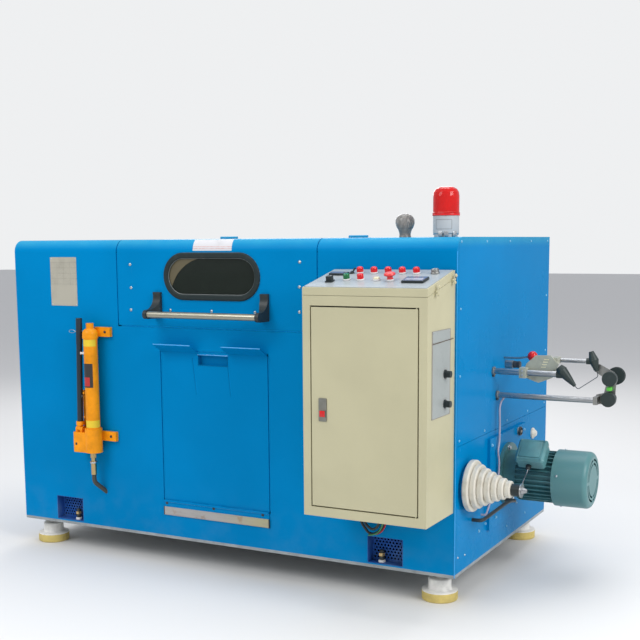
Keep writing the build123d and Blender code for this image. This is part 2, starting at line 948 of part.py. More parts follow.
def lid_section(y_low, y_high, z_under, z_over):
    """Side outline of the lid, in the end plane: sloping below and above."""
    with BuildLine() as outline:
        Polyline(
            (y_low, sloped(z_under, y_low)),
            (y_high, sloped(z_under, y_high)),
            (y_high, sloped(z_over, y_high)),
            (y_low, sloped(z_over, y_low)),
            close=True,
        )
    return outline.edges()


lid_axis_x = cabinet_right + lid_barrel_radius + 0.5
lid_axis_z = lid_front_top - lid_height - lid_seam / 2
lid_hinge_depths = (71, 226)


def lid_knuckle(depth, half, side, bore):
    """Half of a small lid hinge: half 0 or 1 along the slope, side 1 for the body, -1 the lid."""
    y = cabinet_front + depth
    plane = Plane(
        origin=(lid_axis_x, y, sloped(lid_axis_z, y)),
        x_dir=(1, 0, 0),
        z_dir=(0, cos(slope), sin(slope)),
    )
    length = lid_hinge_length / 2 - knuckle_clearance
    start = -lid_hinge_length / 2 if half == 0 else knuckle_clearance
    wall = -(lid_barrel_radius + 0.5)
    near = lid_seam
    with BuildSketch(plane.offset(start)) as outline:
        Circle(lid_barrel_radius)
        with Locations((wall / 2, side * (near + lid_barrel_radius) / 2)):
            Rectangle(-wall, lid_barrel_radius - near)
        with Locations((wall + lid_leaf / 2, side * (near + 18) / 2)):
            Rectangle(lid_leaf, 18 - near)
        if bore:
            Circle(lid_pin_radius + pin_clearance, mode=Mode.SUBTRACT)
    return outline.sketch, length


def lid_pin(depth):
    """Pin of a small lid hinge, as a sketch at its front end."""
    y = cabinet_front + depth
    plane = Plane(
        origin=(lid_axis_x, y, sloped(lid_axis_z, y)),
        x_dir=(1, 0, 0),
        z_dir=(0, cos(slope), sin(slope)),
    )
    with BuildSketch(plane.offset(-lid_hinge_length / 2)) as outline:
        Circle(lid_pin_radius)
    return outline.sketch


body_front_top = lid_front_top - lid_height - lid_seam
frame_left = cabinet_left + frame_margin
frame_right = cabinet_right - frame_margin
frame_low = cabinet_bottom + door_frame_bottom_margin
frame_high = body_front_top - door_frame_top_margin
cabinet_hinge_x = frame_right - seam - pivot_inset
cabinet_hinge_y = cabinet_front + pivot_depth

with BuildPart() as cabinet_body:
    with BuildSketch(end_plane(cabinet_left)):
        make_face(cabinet_section(cabinet_front, front, cabinet_bottom, body_front_top))
    extrude(amount=cabinet_width)
    with BuildSketch(end_plane(cabinet_left + cabinet_sheet)):
        make_face(
            cabinet_section(
                cabinet_front + cabinet_sheet,
                front - cabinet_sheet,
                cabinet_bottom + cabinet_sheet,
                body_front_top + 10,
            )
        )
    extrude(amount=cabinet_width - 2 * cabinet_sheet, mode=Mode.SUBTRACT)
    block(
        (frame_left - cabinet_sheet, frame_right + cabinet_sheet),
        (cabinet_front + cabinet_sheet, cabinet_front + frame_return),
        (frame_low - cabinet_sheet, frame_high + cabinet_sheet),
    )
    block(
        (frame_left, frame_right),
        (cabinet_front, cabinet_front + frame_return),
        (frame_low, frame_high),
        mode=Mode.SUBTRACT,
    )
    with Locations((cabinet_hinge_x, cabinet_hinge_y, (frame_low + frame_high) / 2)):
        Cylinder(
            pivot_radius + pin_clearance,
            frame_high - frame_low + 2 * cabinet_sheet,
            mode=Mode.SUBTRACT,
        )
    for depth in lid_hinge_depths:
        outline, length = lid_knuckle(depth, 0, 1, False)
        extrude(outline, amount=length)
        extrude(lid_pin(depth), amount=lid_hinge_length)
save(cabinet_body, "cabinet_body")

with BuildPart() as cabinet_door:
    x_pair = (frame_left + seam, frame_right - seam)
    z_pair = (frame_low + seam, frame_high - seam)
    block(x_pair, (cabinet_front, cabinet_front + cabinet_door_rim), z_pair)
    block(
        (x_pair[0] + cabinet_sheet, x_pair[1] - cabinet_sheet),
        (cabinet_front + cabinet_sheet, cabinet_front + cabinet_door_rim),
        (z_pair[0] + cabinet_sheet, z_pair[1] - cabinet_sheet),
        mode=Mode.SUBTRACT,
    )
    for z_low, z_high in (
        (frame_low - cabinet_sheet + 0.5, z_pair[0] + pivot_seat),
        (z_pair[1] - pivot_seat, frame_high + cabinet_sheet - 0.5),
    ):
        with Locations((cabinet_hinge_x, cabinet_hinge_y, (z_low + z_high) / 2)):
            Cylinder(pivot_radius, z_high - z_low)
save(cabinet_door, "cabinet_door")

with BuildPart() as cabinet_latch:
    latch_x = frame_left + seam + latch_inset
    latch_z = lid_front_top - latch_drop
    block(
        (latch_x - latch_width / 2, latch_x + latch_width / 2),
        (cabinet_front - 3, cabinet_front),
        (latch_z - latch_tall / 2, latch_z + latch_tall / 2),
    )
    fillet(cabinet_latch.edges().filter_by(Axis.Y), 4)
    block(
        (latch_x - latch_width / 2 + 4, latch_x + latch_width / 2 - 4),
        (cabinet_front - 6, cabinet_front - 3),
        (latch_z - latch_tall / 2 + 18, latch_z - latch_tall / 2 + 38),
    )
save(cabinet_latch, "cabinet_latch")

# Sloping lid, hinged along its right edge, with the grey operator panel on it
lid_rear = front - lid_rear_gap
lid_under = lid_front_top - lid_height

with BuildPart() as cabinet_lid:
    with BuildSketch(end_plane(cabinet_left)):
        make_face(lid_section(cabinet_front, lid_rear, lid_under, lid_front_top))
    extrude(amount=cabinet_width)
    with BuildSketch(end_plane(cabinet_left + cabinet_sheet)):
        make_face(
            lid_section(
                cabinet_front + cabinet_sheet,
                lid_rear - cabinet_sheet,
                lid_under - 10,
                lid_front_top - cabinet_sheet,
            )
        )
    extrude(amount=cabinet_width - 2 * cabinet_sheet, mode=Mode.SUBTRACT)
    for depth in lid_hinge_depths:
        outline, length = lid_knuckle(depth, 1, -1, True)
        extrude(outline, amount=length)
save(cabinet_lid, "cabinet_lid")

panel_plane = Plane(
    origin=(cabinet_left, cabinet_front, lid_front_top),
    x_dir=(1, 0, 0),
    z_dir=(0, -sin(slope), cos(slope)),
)
panel_length = (lid_rear - cabinet_front) / cos(slope)
face_plane = panel_plane.offset(panel_plate)


def panel_boss(x, up, radius, height, base=0):
    """Round button or lamp on the operator panel."""
    with Locations(face_plane.location * Location((x, up, base + height / 2))):
        Cylinder(radius, height)


def panel_block(x, up, width, length, height, base=0):
    """Square button or meter on the operator panel."""
    with Locations(face_plane.location * Location((x, up, base + height / 2))):
        Box(width, length, height)


with BuildPart() as operator_panel:
    with BuildSketch(panel_plane):
        with Locations((cabinet_width / 2, panel_length / 2)):
            Rectangle(cabinet_width - 2 * panel_margin, panel_length - 2 * panel_margin)
    extrude(amount=panel_plate)
save(operator_panel, "operator_panel")

lamp_row = 200
lamp_places = (136, 192, 248, 303, 358)
ring_radius = 14
cap_radius = 11
with BuildPart() as signal_lamps:
    for x in lamp_places:
        panel_boss(x, lamp_row, ring_radius, 4)
        panel_boss(x, lamp_row, cap_radius, 15, base=4)
save(signal_lamps, "signal_lamps")

button_row = 100
button_places = (129, 184, 247)
stop_button = 299
stop_radius = 20
key_switch = (427, 204)
toggle = (105, 195)
square_knob = (74, 75)
square_knob_side = 26
long_meter = (62, 175)
long_meter_size = (72, 28, 8)
wide_meter = (396, 95)
wide_meter_size = (82, 60, 10)

with BuildPart() as push_buttons:
    for x in button_places:
        panel_boss(x, button_row, ring_radius, 5)
        panel_boss(x, button_row, cap_radius, 9, base=5)
    panel_boss(stop_button, button_row, ring_radius, 14)
    panel_boss(stop_button, button_row, stop_radius, 13, base=14)
    panel_block(*square_knob, square_knob_side, square_knob_side, 16)
    panel_boss(*key_switch, ring_radius, 12)
    panel_boss(*toggle, 8, 4)
    panel_boss(*toggle, 3, 16, base=4)
save(push_buttons, "push_buttons")

with BuildPart() as panel_meters:
    panel_block(*long_meter, *long_meter_size)
    panel_block(*wide_meter, *wide_meter_size)
save(panel_meters, "panel_meters")

# Plate and two knobs on the cabinet's right side
side_plate_depths = (40, 210)
side_plate_drops = (452, 146)
side_plate_line_drop = 187
side_plate_line = 1
side_plate_thickness = 2
side_knob_depth = 160
side_knob_drops = (304, 410)
knob_skirt_radius = 16
knob_skirt = 3
knob_radius = 12
knob_reach = 20

with BuildPart() as side_plate:
    for z_low, z_high in (
        (-side_plate_drops[0], -side_plate_line_drop - side_plate_line / 2),
        (-side_plate_line_drop + side_plate_line / 2, -side_plate_drops[1]),
    ):
        block(
            (cabinet_right, cabinet_right + side_plate_thickness),
            (cabinet_front + side_plate_depths[0], cabinet_front + side_plate_depths[1]),
            (lid_front_top + z_low, lid_front_top + z_high),
        )
save(side_plate, "side_plate")

with BuildPart() as side_knobs:
    for drop in side_knob_drops:
        with BuildSketch(end_plane(cabinet_right + side_plate_thickness)):
            with Locations((cabinet_front + side_knob_depth, lid_front_top - drop)):
                Circle(knob_skirt_radius)
        extrude(amount=knob_skirt)
        with BuildSketch(end_plane(cabinet_right + side_plate_thickness + knob_skirt)):
            with Locations((cabinet_front + side_knob_depth, lid_front_top - drop)):
                Circle(knob_radius)
        extrude(amount=knob_reach)
save(side_knobs, "side_knobs")


# Beacon and filler cap on the top
def turned(origin, points):
    """Solid of revolution about a vertical axis, from (radius, height) corner points."""
    with BuildSketch(Plane(origin=origin, x_dir=(1, 0, 0), z_dir=(0, -1, 0))) as profile:
        with BuildLine():
            Polyline(*points, close=True)
        make_face()
    return profile.sketch


beacon_place = (right_end - 91, front + 120, top)
beacon_base_height = 77
beacon_foot_height = 14
beacon_base_radius = 47.5
beacon_dome_height = 104
beacon_dome_radius = 48
beacon_lip_radius = 50
beacon_lip_height = 13
cap_place = (right_end - 254, front + 120, top)
cap_neck_radius = 21
cap_bulb_radius = 31
cap_bulb_height = 53
cap_total_height = 86

with BuildPart() as beacon_base:
    revolve(
        turned(
            beacon_place,
            [
                (0, 0),
                (beacon_base_radius - 4, 0),
                (beacon_base_radius - 4, beacon_foot_height - 4),
                (beacon_base_radius, beacon_foot_height),
                (beacon_base_radius, beacon_base_height),
                (0, beacon_base_height),
            ],
        ),
        axis=Axis(beacon_place, (0, 0, 1)),
    )
save(beacon_base, "beacon_base")

with BuildPart() as beacon_dome:
    dome_origin = (beacon_place[0], beacon_place[1], top + beacon_base_height)
    revolve(
        turned(
            dome_origin,
            [
                (0, 0),
                (beacon_lip_radius, 0),
                (beacon_lip_radius, beacon_lip_height - 2),
                (beacon_dome_radius, beacon_lip_height),
                (beacon_dome_radius, beacon_dome_height - 33),
                (beacon_dome_radius - 2, beacon_dome_height - 19),
                (beacon_dome_radius - 9, beacon_dome_height - 8),
                (beacon_dome_radius - 21, beacon_dome_height - 1.5),
                (beacon_dome_radius - 30, beacon_dome_height),
                (0, beacon_dome_height),
            ],
        ),
        axis=Axis(beacon_place, (0, 0, 1)),
    )
save(beacon_dome, "beacon_dome")

with BuildPart() as filler_cap:
    with BuildSketch(Plane(origin=cap_place, x_dir=(1, 0, 0), z_dir=(0, -1, 0))):
        with BuildLine():
            Polyline((0, cap_total_height), (0, 0), (cap_neck_radius + 2, 0), (cap_neck_radius, 8))
            Spline(
                (cap_neck_radius, 8),
                (0.87 * cap_bulb_radius, 0.6 * cap_bulb_height),
                (cap_bulb_radius, cap_bulb_height),
                (0.72 * cap_bulb_radius, 0.5 * (cap_bulb_height + cap_total_height) + 7),
                (0, cap_total_height),
                tangents=[(0, 1), (-1, 0)],
            )
        make_face()
    revolve(axis=Axis(cap_place, (0, 0, 1)))
save(filler_cap, "filler_cap")

# Flange motor on the right end
motor_from_front = 560
motor_height = 295
motor_y = front + motor_from_front
motor_z = bottom + motor_height
mount_thickness = 12
mount_depths = (350, 800)
mount_heights = (100, 467)
flange_radius = 125
flange_end = 26
shield_radius = 95
shield_end = 75
core_radius = 90
fin_radius = 104
fin_count = 32
fin_thickness = 4
fin_end = 225
rear_shield_end = 235
cover_radius = 113
cover_sheet = 3
cover_end = 365
cover_rounding = 20
grille_rings = (34, 50, 66, 82)
grille_slot = 8
grille_spoke = 12
terminal_box_from_end = 151
box_length = 110
box_width = 100
box_low = 127
box_seam = 159
box_high = 184
box_lid_margin = 3


def end_disc(x_low, x_high, radius, y, z, mode=Mode.ADD):
    """Cylinder along X between two distances from the right end face."""
    centre = (right_end + (x_low + x_high) / 2, y, z)
    with Locations(Location(centre, (0, 90, 0))):
        Cylinder(radius, x_high - x_low, mode=mode)


with BuildPart() as motor_mount_plate:
    block(
        (right_end, right_end + mount_thickness),
        (front + mount_depths[0], front + mount_depths[1]),
        (bottom + mount_heights[0], bottom + mount_heights[1]),
    )
save(motor_mount_plate, "motor_mount_plate")

with BuildPart() as motor_body:
    end_disc(mount_thickness, flange_end, flange_radius, motor_y, motor_z)
    end_disc(flange_end, shield_end, shield_radius, motor_y, motor_z)
    end_disc(shield_end, rear_shield_end, core_radius, motor_y, motor_z)
    end_disc(fin_end, rear_shield_end, cover_radius - cover_sheet, motor_y, motor_z)
    with BuildSketch(Plane(origin=(right_end + shield_end, motor_y, motor_z), z_dir=(1, 0, 0))):
        with PolarLocations((core_radius + fin_radius) / 2 - 3, fin_count):
            Rectangle(fin_radius - core_radius + 6, fin_thickness)
    extrude(amount=fin_end - shield_end)
save(motor_body, "motor_body")

with BuildPart() as fan_cover:
    with BuildSketch(Plane(origin=(right_end, motor_y, motor_z), x_dir=(1, 0, 0), z_dir=(0, -1, 0))):
        with BuildLine():
            inner = cover_radius - cover_sheet
            straight = cover_end - cover_rounding
            Line((fin_end, inner), (fin_end, cover_radius))
            Line((fin_end, cover_radius), (straight, cover_radius))
            RadiusArc((straight, cover_radius), (cover_end, cover_radius - cover_rounding), cover_rounding)
            Line((cover_end, cover_radius - cover_rounding), (cover_end, 0))
            Line((cover_end, 0), (cover_end - cover_sheet, 0))
            Line((cover_end - cover_sheet, 0), (cover_end - cover_sheet, cover_radius - cover_rounding))
            RadiusArc(
                (cover_end - cover_sheet, cover_radius - cover_rounding),
                (straight, inner),
                -(cover_rounding - cover_sheet),
            )
            Line((straight, inner), (fin_end, inner))
        make_face()
    revolve(axis=Axis((right_end, motor_y, motor_z), (1, 0, 0)))
    with BuildSketch(Plane(origin=(right_end + cover_end, motor_y, motor_z), z_dir=(1, 0, 0))):
        for slot_radius in grille_rings:
            Circle(slot_radius + grille_slot / 2)
            Circle(slot_radius - grille_slot / 2, mode=Mode.SUBTRACT)
            if slot_radius > grille_rings[0]:
                Circle(slot_radius - 1.5 * grille_slot)
                Circle(slot_radius - 2.5 * grille_slot, mode=Mode.SUBTRACT)
        Rectangle(grille_spoke, 2 * cover_radius, mode=Mode.SUBTRACT)
        Rectangle(2 * cover_radius, grille_spoke, mode=Mode.SUBTRACT)
    extrude(amount=-cover_sheet, mode=Mode.SUBTRACT)
save(fan_cover, "fan_cover")

box_plane = Plane(
    origin=(right_end + terminal_box_from_end, motor_y, motor_z),
    x_dir=(1, 0, 0),
    z_dir=(0, -sqrt(0.5), sqrt(0.5)),
)
with BuildPart() as terminal_box:
    with BuildSketch(box_plane.offset(fin_radius)):
        Rectangle(box_length - 40, box_width - 36)
    extrude(amount=box_low - fin_radius)
    with BuildSketch(box_plane.offset(box_low)):
        RectangleRounded(box_length, box_width, 10)
    extrude(amount=box_seam - box_low)
    with BuildSketch(box_plane.offset(box_seam)):
        RectangleRounded(box_length + 2 * box_lid_margin, box_width + 2 * box_lid_margin, 12)
    extrude(amount=box_high - box_seam)
    chamfer(terminal_box.faces().sort_by(Axis((0, 0, 0), box_plane.z_dir))[-1].edges(), 9)
save(terminal_box, "terminal_box")

# Cone pulley on its shaft
cone_start = 14
cone_end = 176
cone_radii = (97.5, 82.5, 70, 59, 49, 40, 32)
crown = 6
step = (cone_end - cone_start) / len(cone_radii)

with BuildPart() as cone_pulley:
    with BuildSketch(Plane(origin=(right_end, cone_y, cone_z), x_dir=(1, 0, 0), z_dir=(0, -1, 0))):
        with BuildLine():
            Line((cone_start, cone_shaft_radius), (cone_start, cone_radii[0] - crown))
            for i, radius in enumerate(cone_radii):
                near = cone_start + i * step
                far = near + step
                after = cone_radii[i + 1] - crown if i + 1 < len(cone_radii) else cone_shaft_radius
                RadiusArc((near, radius - crown), (near + crown, radius), crown)
                Line((near + crown, radius), (far - crown, radius))
                RadiusArc((far - crown, radius), (far, radius - crown), crown)
                if radius - crown != after:
                    Line((far, radius - crown), (far, after))
            Line((cone_end, cone_shaft_radius), (cone_start, cone_shaft_radius))
        make_face()
    revolve(axis=Axis((right_end, cone_y, cone_z), (1, 0, 0)))
save(cone_pulley, "cone_pulley")

shaft_inside = 30
collar_end = 210
collar_radius = 22
end_washer = 4
end_washer_radius = 26.5
end_nut = 18

with BuildPart() as cone_shaft:
    end_disc(-shaft_inside, cone_end, cone_shaft_radius, cone_y, cone_z)
    end_disc(collar_end, collar_end + end_washer, end_washer_radius, cone_y, cone_z)
    nut_middle = right_end + collar_end + end_washer + end_nut / 2
    with Locations(Location((nut_middle, cone_y, cone_z), (0, 90, 0))):
        Cone(end_washer_radius / 2, end_washer_radius / 4, end_nut)
save(cone_shaft, "cone_shaft")

with BuildPart() as shaft_collar:
    end_disc(cone_end, collar_end, collar_radius, cone_y, cone_z)
save(shaft_collar, "shaft_collar")

# Wire guide rods, bracket, guides and pulleys on the right end
front_rod_from_front = 400
front_rod_height = 730
front_rod_reach = 255
front_rod_radius = 12
low_rod_from_front = 450
low_rod_drop = 100
low_rod_height = front_rod_height - low_rod_drop
low_rod_reach = 402
low_rod_radius = 11
rear_rod_from_front = 470
rear_rod_rise = 47
rear_rod_height = front_rod_height + rear_rod_rise
rear_rod_start = 222
rear_rod_end = 350
rear_rod_radius = 9
ball_rod_radius = 4
ball_radius = 20
ball_rod_from_front = 535
ball_rod_rise = 40
ball_rise = 10
ball_reach = 118
ball_bend_reach = 60
ball_rod_height = front_rod_height + ball_rod_rise
ball_bend = (ball_bend_reach, ball_rod_from_front, ball_rod_height)
ball_place = (ball_reach, ball_rod_from_front, ball_rod_height + ball_rise)
hexagon_from_front = 420
hexagon_thickness = 8
hexagon_points = (
    (112, front_rod_height - 18),
    (178, front_rod_height - 40),
    (232, front_rod_height - 18),
    (255, rear_rod_height - 12),
    (222, rear_rod_height + 21),
    (165, rear_rod_height + 19),
    (128, rear_rod_height - 15),
)
hexagon_slots = (196, rear_rod_height - 25)
slot_length = 20
slot_width = 4
slot_pitch = 10
front_clamp = (112, 138)
front_clamp_half = 20
rear_clamp = (224, 248)
rear_clamp_half = 12
front_rod = (front + front_rod_from_front, bottom + front_rod_height)
low_rod = (front + low_rod_from_front, bottom + low_rod_height)
rear_rod = (front + rear_rod_from_front, bottom + rear_rod_height)
plate_front = front + hexagon_from_front
plate_back = plate_front + hexagon_thickness


def end_point(x, y, z):
    """Point given from the right end face, the front and the housing's bottom."""
    return (right_end + x, front + y, bottom + z)


ball_centre = Vector(*end_point(*ball_place))
ball_way = (ball_centre - Vector(*end_point(*ball_bend))).normalized()
ball_rod_tip = ball_centre - ball_way * (ball_radius - 6)

with BuildPart() as guide_rods:
    end_disc(0, front_rod_reach, front_rod_radius, *front_rod)
    end_disc(0, low_rod_reach, low_rod_radius, *low_rod)
    end_disc(rear_rod_start, rear_rod_end, rear_rod_radius, *rear_rod)
    with BuildLine():
        tube_path(
            [
                Vector(*end_point(0, ball_rod_from_front, ball_rod_height)),
                Vector(*end_point(*ball_bend)),
                ball_rod_tip,
            ]
        )
    with BuildSketch(end_plane(right_end)):
        with Locations((front + ball_rod_from_front, bottom + ball_rod_height)):
            Circle(ball_rod_radius)
    sweep()
save(guide_rods, "guide_rods")

with BuildPart() as rod_bracket:
    with BuildSketch(front_plane(plate_back)):
        with BuildLine():
            Polyline(*[(right_end + x, bottom + z) for x, z in hexagon_points], close=True)
        make_face()
        for i in range(4):
            slot_x = right_end + hexagon_slots[0] + slot_width * i
            slot_z = bottom + hexagon_slots[1] + slot_pitch * i
            with Locations((slot_x, slot_z)):
                Rectangle(slot_length, slot_width, mode=Mode.SUBTRACT)
    extrude(amount=plate_back - plate_front)
    block(
        (right_end + front_clamp[0], right_end + front_clamp[1]),
        (front_rod[0] - front_clamp_half, plate_front + 2),
        (front_rod[1] - front_clamp_half, front_rod[1] + front_clamp_half),
    )
    block(
        (right_end + rear_clamp[0], right_end + rear_clamp[1]),
        (plate_back, rear_rod[0] + rear_clamp_half),
        (rear_rod[1] - rear_clamp_half, rear_rod[1] + rear_clamp_half),
    )
    end_disc(front_clamp[0] - 2, front_clamp[1] + 2, front_rod_radius, *front_rod, mode=Mode.SUBTRACT)
    end_disc(rear_rod_start, rear_rod_end, rear_rod_radius, *rear_rod, mode=Mode.SUBTRACT)
save(rod_bracket, "rod_bracket")


def guide_profile(start, end, points):
    """Turned outline, with (distance, radius) points, about the line from start to end."""
    run = Vector(*end_point(*end)) - Vector(*end_point(*start))
    plane = Plane(origin=end_point(*start), x_dir=run, z_dir=(0, -1, 0))
    with BuildSketch(plane) as profile:
        with BuildLine():
            Polyline(*points, close=True)
        make_face()
    return profile.sketch, Axis(end_point(*start), run)


front_guide_depth = front_rod_from_front
rear_guide_depth = rear_rod_from_front
front_guide = (
    (262, front_guide_depth, front_rod_height + 27),
    (326, front_guide_depth, front_rod_height - 42),
)
rear_guide = (
    (366, rear_guide_depth, rear_rod_height + 38),
    (390, rear_guide_depth, rear_rod_height - 38),
)
guide_stud = (384, rear_rod_height - 20)

guide_stud_radius = 4
guide_stud_depths = (rear_guide_depth, rear_guide_depth + 16)
front_guide_length = 94
rear_guide_length = 79
front_guide_neck = 15
rear_guide_neck = 12

with BuildPart() as wire_guides:
    end_disc(front_rod_reach, front_rod_reach + 35, front_guide_neck, *front_rod)
    profile, spin = guide_profile(
        *front_guide,
        [(0, 0), (0, 15), (18, 21), (58, 14), (front_guide_length, 6), (front_guide_length, 0)],
    )
    revolve(profile, axis=spin)
    end_disc(
        front_rod_reach - 15, front_rod_reach, front_rod_radius + 10, *front_rod, mode=Mode.SUBTRACT
    )
    profile, spin = guide_profile(
        *rear_guide, [(0, 0), (0, 9), (36, 19), (rear_guide_length, 7), (rear_guide_length, 0)]
    )
    revolve(profile, axis=spin)
    end_disc(rear_rod_end, rear_rod_end + 26, rear_guide_neck, *rear_rod)
    stud_middle = sum(guide_stud_depths) / 2
    with Locations(Location(end_point(guide_stud[0], stud_middle, guide_stud[1]), (90, 0, 0))):
        Cylinder(
            guide_stud_radius, guide_stud_depths[1] - guide_stud_depths[0], mode=Mode.SUBTRACT
        )
save(wire_guides, "wire_guides")

wire_radius = 1.5
front_tip = Vector(*end_point(*front_guide[1]))
front_way = (front_tip - Vector(*end_point(*front_guide[0]))).normalized()
rear_tip = Vector(*end_point(*rear_guide[1]))
rear_way = (rear_tip - Vector(*end_point(*rear_guide[0]))).normalized()
wire_start = Vector(*end_point(*front_guide[0])) + front_way * front_guide_length
wire_end = Vector(*end_point(*rear_guide[0])) + rear_way * rear_guide_length

with BuildPart() as guide_wire:
    with BuildLine():
        tube_path([wire_start, wire_start + front_way * 16, wire_end + rear_way * 20, wire_end])
    with BuildSketch(Plane(origin=wire_start, z_dir=front_way)):
        Circle(wire_radius)
    sweep()
save(guide_wire, "guide_wire")

pulley_plate_from_front = guide_stud_depths[1]
pulley_plate_thickness = 8
upper_axle_place = (441, front_rod_height - 16)
lower_axle_place = (438, low_rod_height + 5)
axle_radius = 6
wheel_radius = 28
wheel_from_front = 452
wheel_width = 22
upper_axle_end = 560
flange_wheel = ((560, 565, 34), (565, 575, 28), (575, 580, 34))
lower_axle_end = 500
lower_nut = (500, 512, 20)
arm_points = (
    (372, rear_rod_height - 12),
    (396, rear_rod_height - 12),
    (452, front_rod_height + 6),
    (460, front_rod_height - 18),
    (456, low_rod_height - 8),
    (446, low_rod_height - 18),
    (386, low_rod_height - 18),
    (386, low_rod_height + 18),
    (415, low_rod_height + 26),
    (422, front_rod_height - 40),
    (416, front_rod_height - 18),
    (372, rear_rod_height - 35),
)
low_clamp = (386, 402)
low_clamp_half = 15
tab_block = ((430, 446), (464, 486), (low_rod_height + 38, low_rod_height + 51))
pulley_plate_front = front + pulley_plate_from_front
pulley_plate_back = pulley_plate_front + pulley_plate_thickness
upper_axle = (right_end + upper_axle_place[0], bottom + upper_axle_place[1])
lower_axle = (right_end + lower_axle_place[0], bottom + lower_axle_place[1])
wheel_front = front + wheel_from_front
wheel_back = wheel_front + wheel_width


def cross_disc(y_low, y_high, radius, place, mode=Mode.ADD):
    """Cylinder along Y between two depths at an (x, z) place."""
    with Locations(Location((place[0], (y_low + y_high) / 2, place[1]), (90, 0, 0))):
        Cylinder(radius, y_high - y_low, mode=mode)


with BuildPart() as pulley_bracket:
    with BuildSketch(front_plane(pulley_plate_back)):
        with BuildLine():
            Polyline(*[(right_end + x, bottom + z) for x, z in arm_points], close=True)
        make_face()
    extrude(amount=pulley_plate_back - pulley_plate_front)
    block(
        (right_end + low_clamp[0], right_end + low_clamp[1]),
        (low_rod[0] - low_clamp_half, pulley_plate_back),
        (low_rod[1] - low_clamp_half, low_rod[1] + low_clamp_half),
    )
    end_disc(low_clamp[0] - 6, low_rod_reach, low_rod_radius, *low_rod, mode=Mode.SUBTRACT)
    for axle in (upper_axle, lower_axle):
        cross_disc(
            pulley_plate_front,
            pulley_plate_back,
            axle_radius + running_clearance,
            axle,
            mode=Mode.SUBTRACT,
        )
    cross_disc(
        front + guide_stud_depths[0],
        pulley_plate_front,
        guide_stud_radius,
        (right_end + guide_stud[0], bottom + guide_stud[1]),
    )
    block(
        (right_end + tab_block[0][0], right_end + tab_block[0][1]),
        (front + tab_block[1][0], front + tab_block[1][1]),
        (bottom + tab_block[2][0], bottom + tab_block[2][1]),
    )
save(pulley_bracket, "pulley_bracket")

with BuildPart() as upper_pulley:
    cross_disc(wheel_front, wheel_back, wheel_radius, upper_axle)
    cross_disc(wheel_back, front + upper_axle_end, axle_radius, upper_axle)
    for y_low, y_high, radius in flange_wheel:
        cross_disc(front + y_low, front + y_high, radius, upper_axle)
save(upper_pulley, "upper_pulley")

with BuildPart() as lower_pulley:
    cross_disc(wheel_front, wheel_back, wheel_radius, lower_axle)
    cross_disc(wheel_back, front + lower_axle_end, axle_radius, lower_axle)
    cross_disc(front + lower_nut[0], front + lower_nut[1], lower_nut[2], lower_axle)
save(lower_pulley, "lower_pulley")

# Red ball on its rod, the spindle nose and two plugs on the right end
nose_from_front = 562
nose_height = front_rod_height + 11
nose_steps = ((0, 30, 17), (30, 60, 13))
bolt_plug_place = (705, 445)
bolt_plug_radius = 15
bolt_plug_reach = 14
dome_plug_place = (939, 398)
dome_plug_radius = 24
dome_plug_base = 6
dome_plug_rise = 14

with BuildPart() as red_knob:
    with Locations(ball_centre):
        Sphere(ball_radius)
    with BuildSketch(Plane(origin=ball_rod_tip, z_dir=ball_way)):
        Circle(ball_rod_radius + pin_clearance)
    extrude(amount=-ball_radius, mode=Mode.SUBTRACT)
save(red_knob, "red_knob")

with BuildPart() as spindle_nose:
    for x_low, x_high, radius in nose_steps:
        end_disc(x_low, x_high, radius, front + nose_from_front, bottom + nose_height)
save(spindle_nose, "spindle_nose")

with BuildPart() as wall_plugs:
    end_disc(
        mount_thickness,
        mount_thickness + bolt_plug_reach,
        bolt_plug_radius,
        front + bolt_plug_place[0],
        bottom + bolt_plug_place[1],
    )
    dome_y = front + dome_plug_place[0]
    dome_z = bottom + dome_plug_place[1]
    end_disc(0, dome_plug_base, dome_plug_radius, dome_y, dome_z)
    with Locations(Location((right_end + dome_plug_base, dome_y, dome_z), (0, 90, 0))):
        Cone(
            dome_plug_radius - 2,
            dome_plug_radius / 2 - 2,
            dome_plug_rise,
            align=(Align.CENTER, Align.CENTER, Align.MIN),
        )
save(wall_plugs, "wall_plugs")


# Cables
def cable_points(points):
    """Points given from the right end face, the front and the housing's bottom."""
    return [(right_end + x, front + y, bottom + z) for x, y, z in points]


sensor_exit = (low_rod_from_front + 43, low_rod_height - 11)
sensor_radius = 4
motor_cable_radius = 7
motor_cable_exit = (184, 182)
cabinet_cable_radius = 5
sensor_route = [
    (0, *sensor_exit),
    (20, *sensor_exit),
    (20, 427, 596),
    (20, 436, 524),
    (22, 428, 443),
    (24, 405, 411),
    (24, 425, 370),
    (24, 420, 308),
    (20, 285, 179),
    (0, 285, 179),
]
with BuildPart() as sensor_cable:
    with BuildLine():
        tube_path(cable_points(sensor_route))
    with BuildSketch(end_plane(right_end)):
        with Locations((front + sensor_exit[0], bottom + sensor_exit[1])):
            Circle(sensor_radius)
    sweep()
save(sensor_cable, "sensor_cable")

motor_cable_route = [
    (0, *motor_cable_exit),
    (40, *motor_cable_exit),
    (75, motor_from_front - 160, 217),
    (70, motor_from_front - 60, 196),
    (flange_end, motor_from_front - 60, 196),
]
with BuildPart() as motor_cable:
    with BuildLine():
        tube_path(cable_points(motor_cable_route))
    with BuildSketch(end_plane(right_end)):
        with Locations((front + motor_cable_exit[0], bottom + motor_cable_exit[1])):
            Circle(motor_cable_radius)
    sweep()
save(motor_cable, "motor_cable")

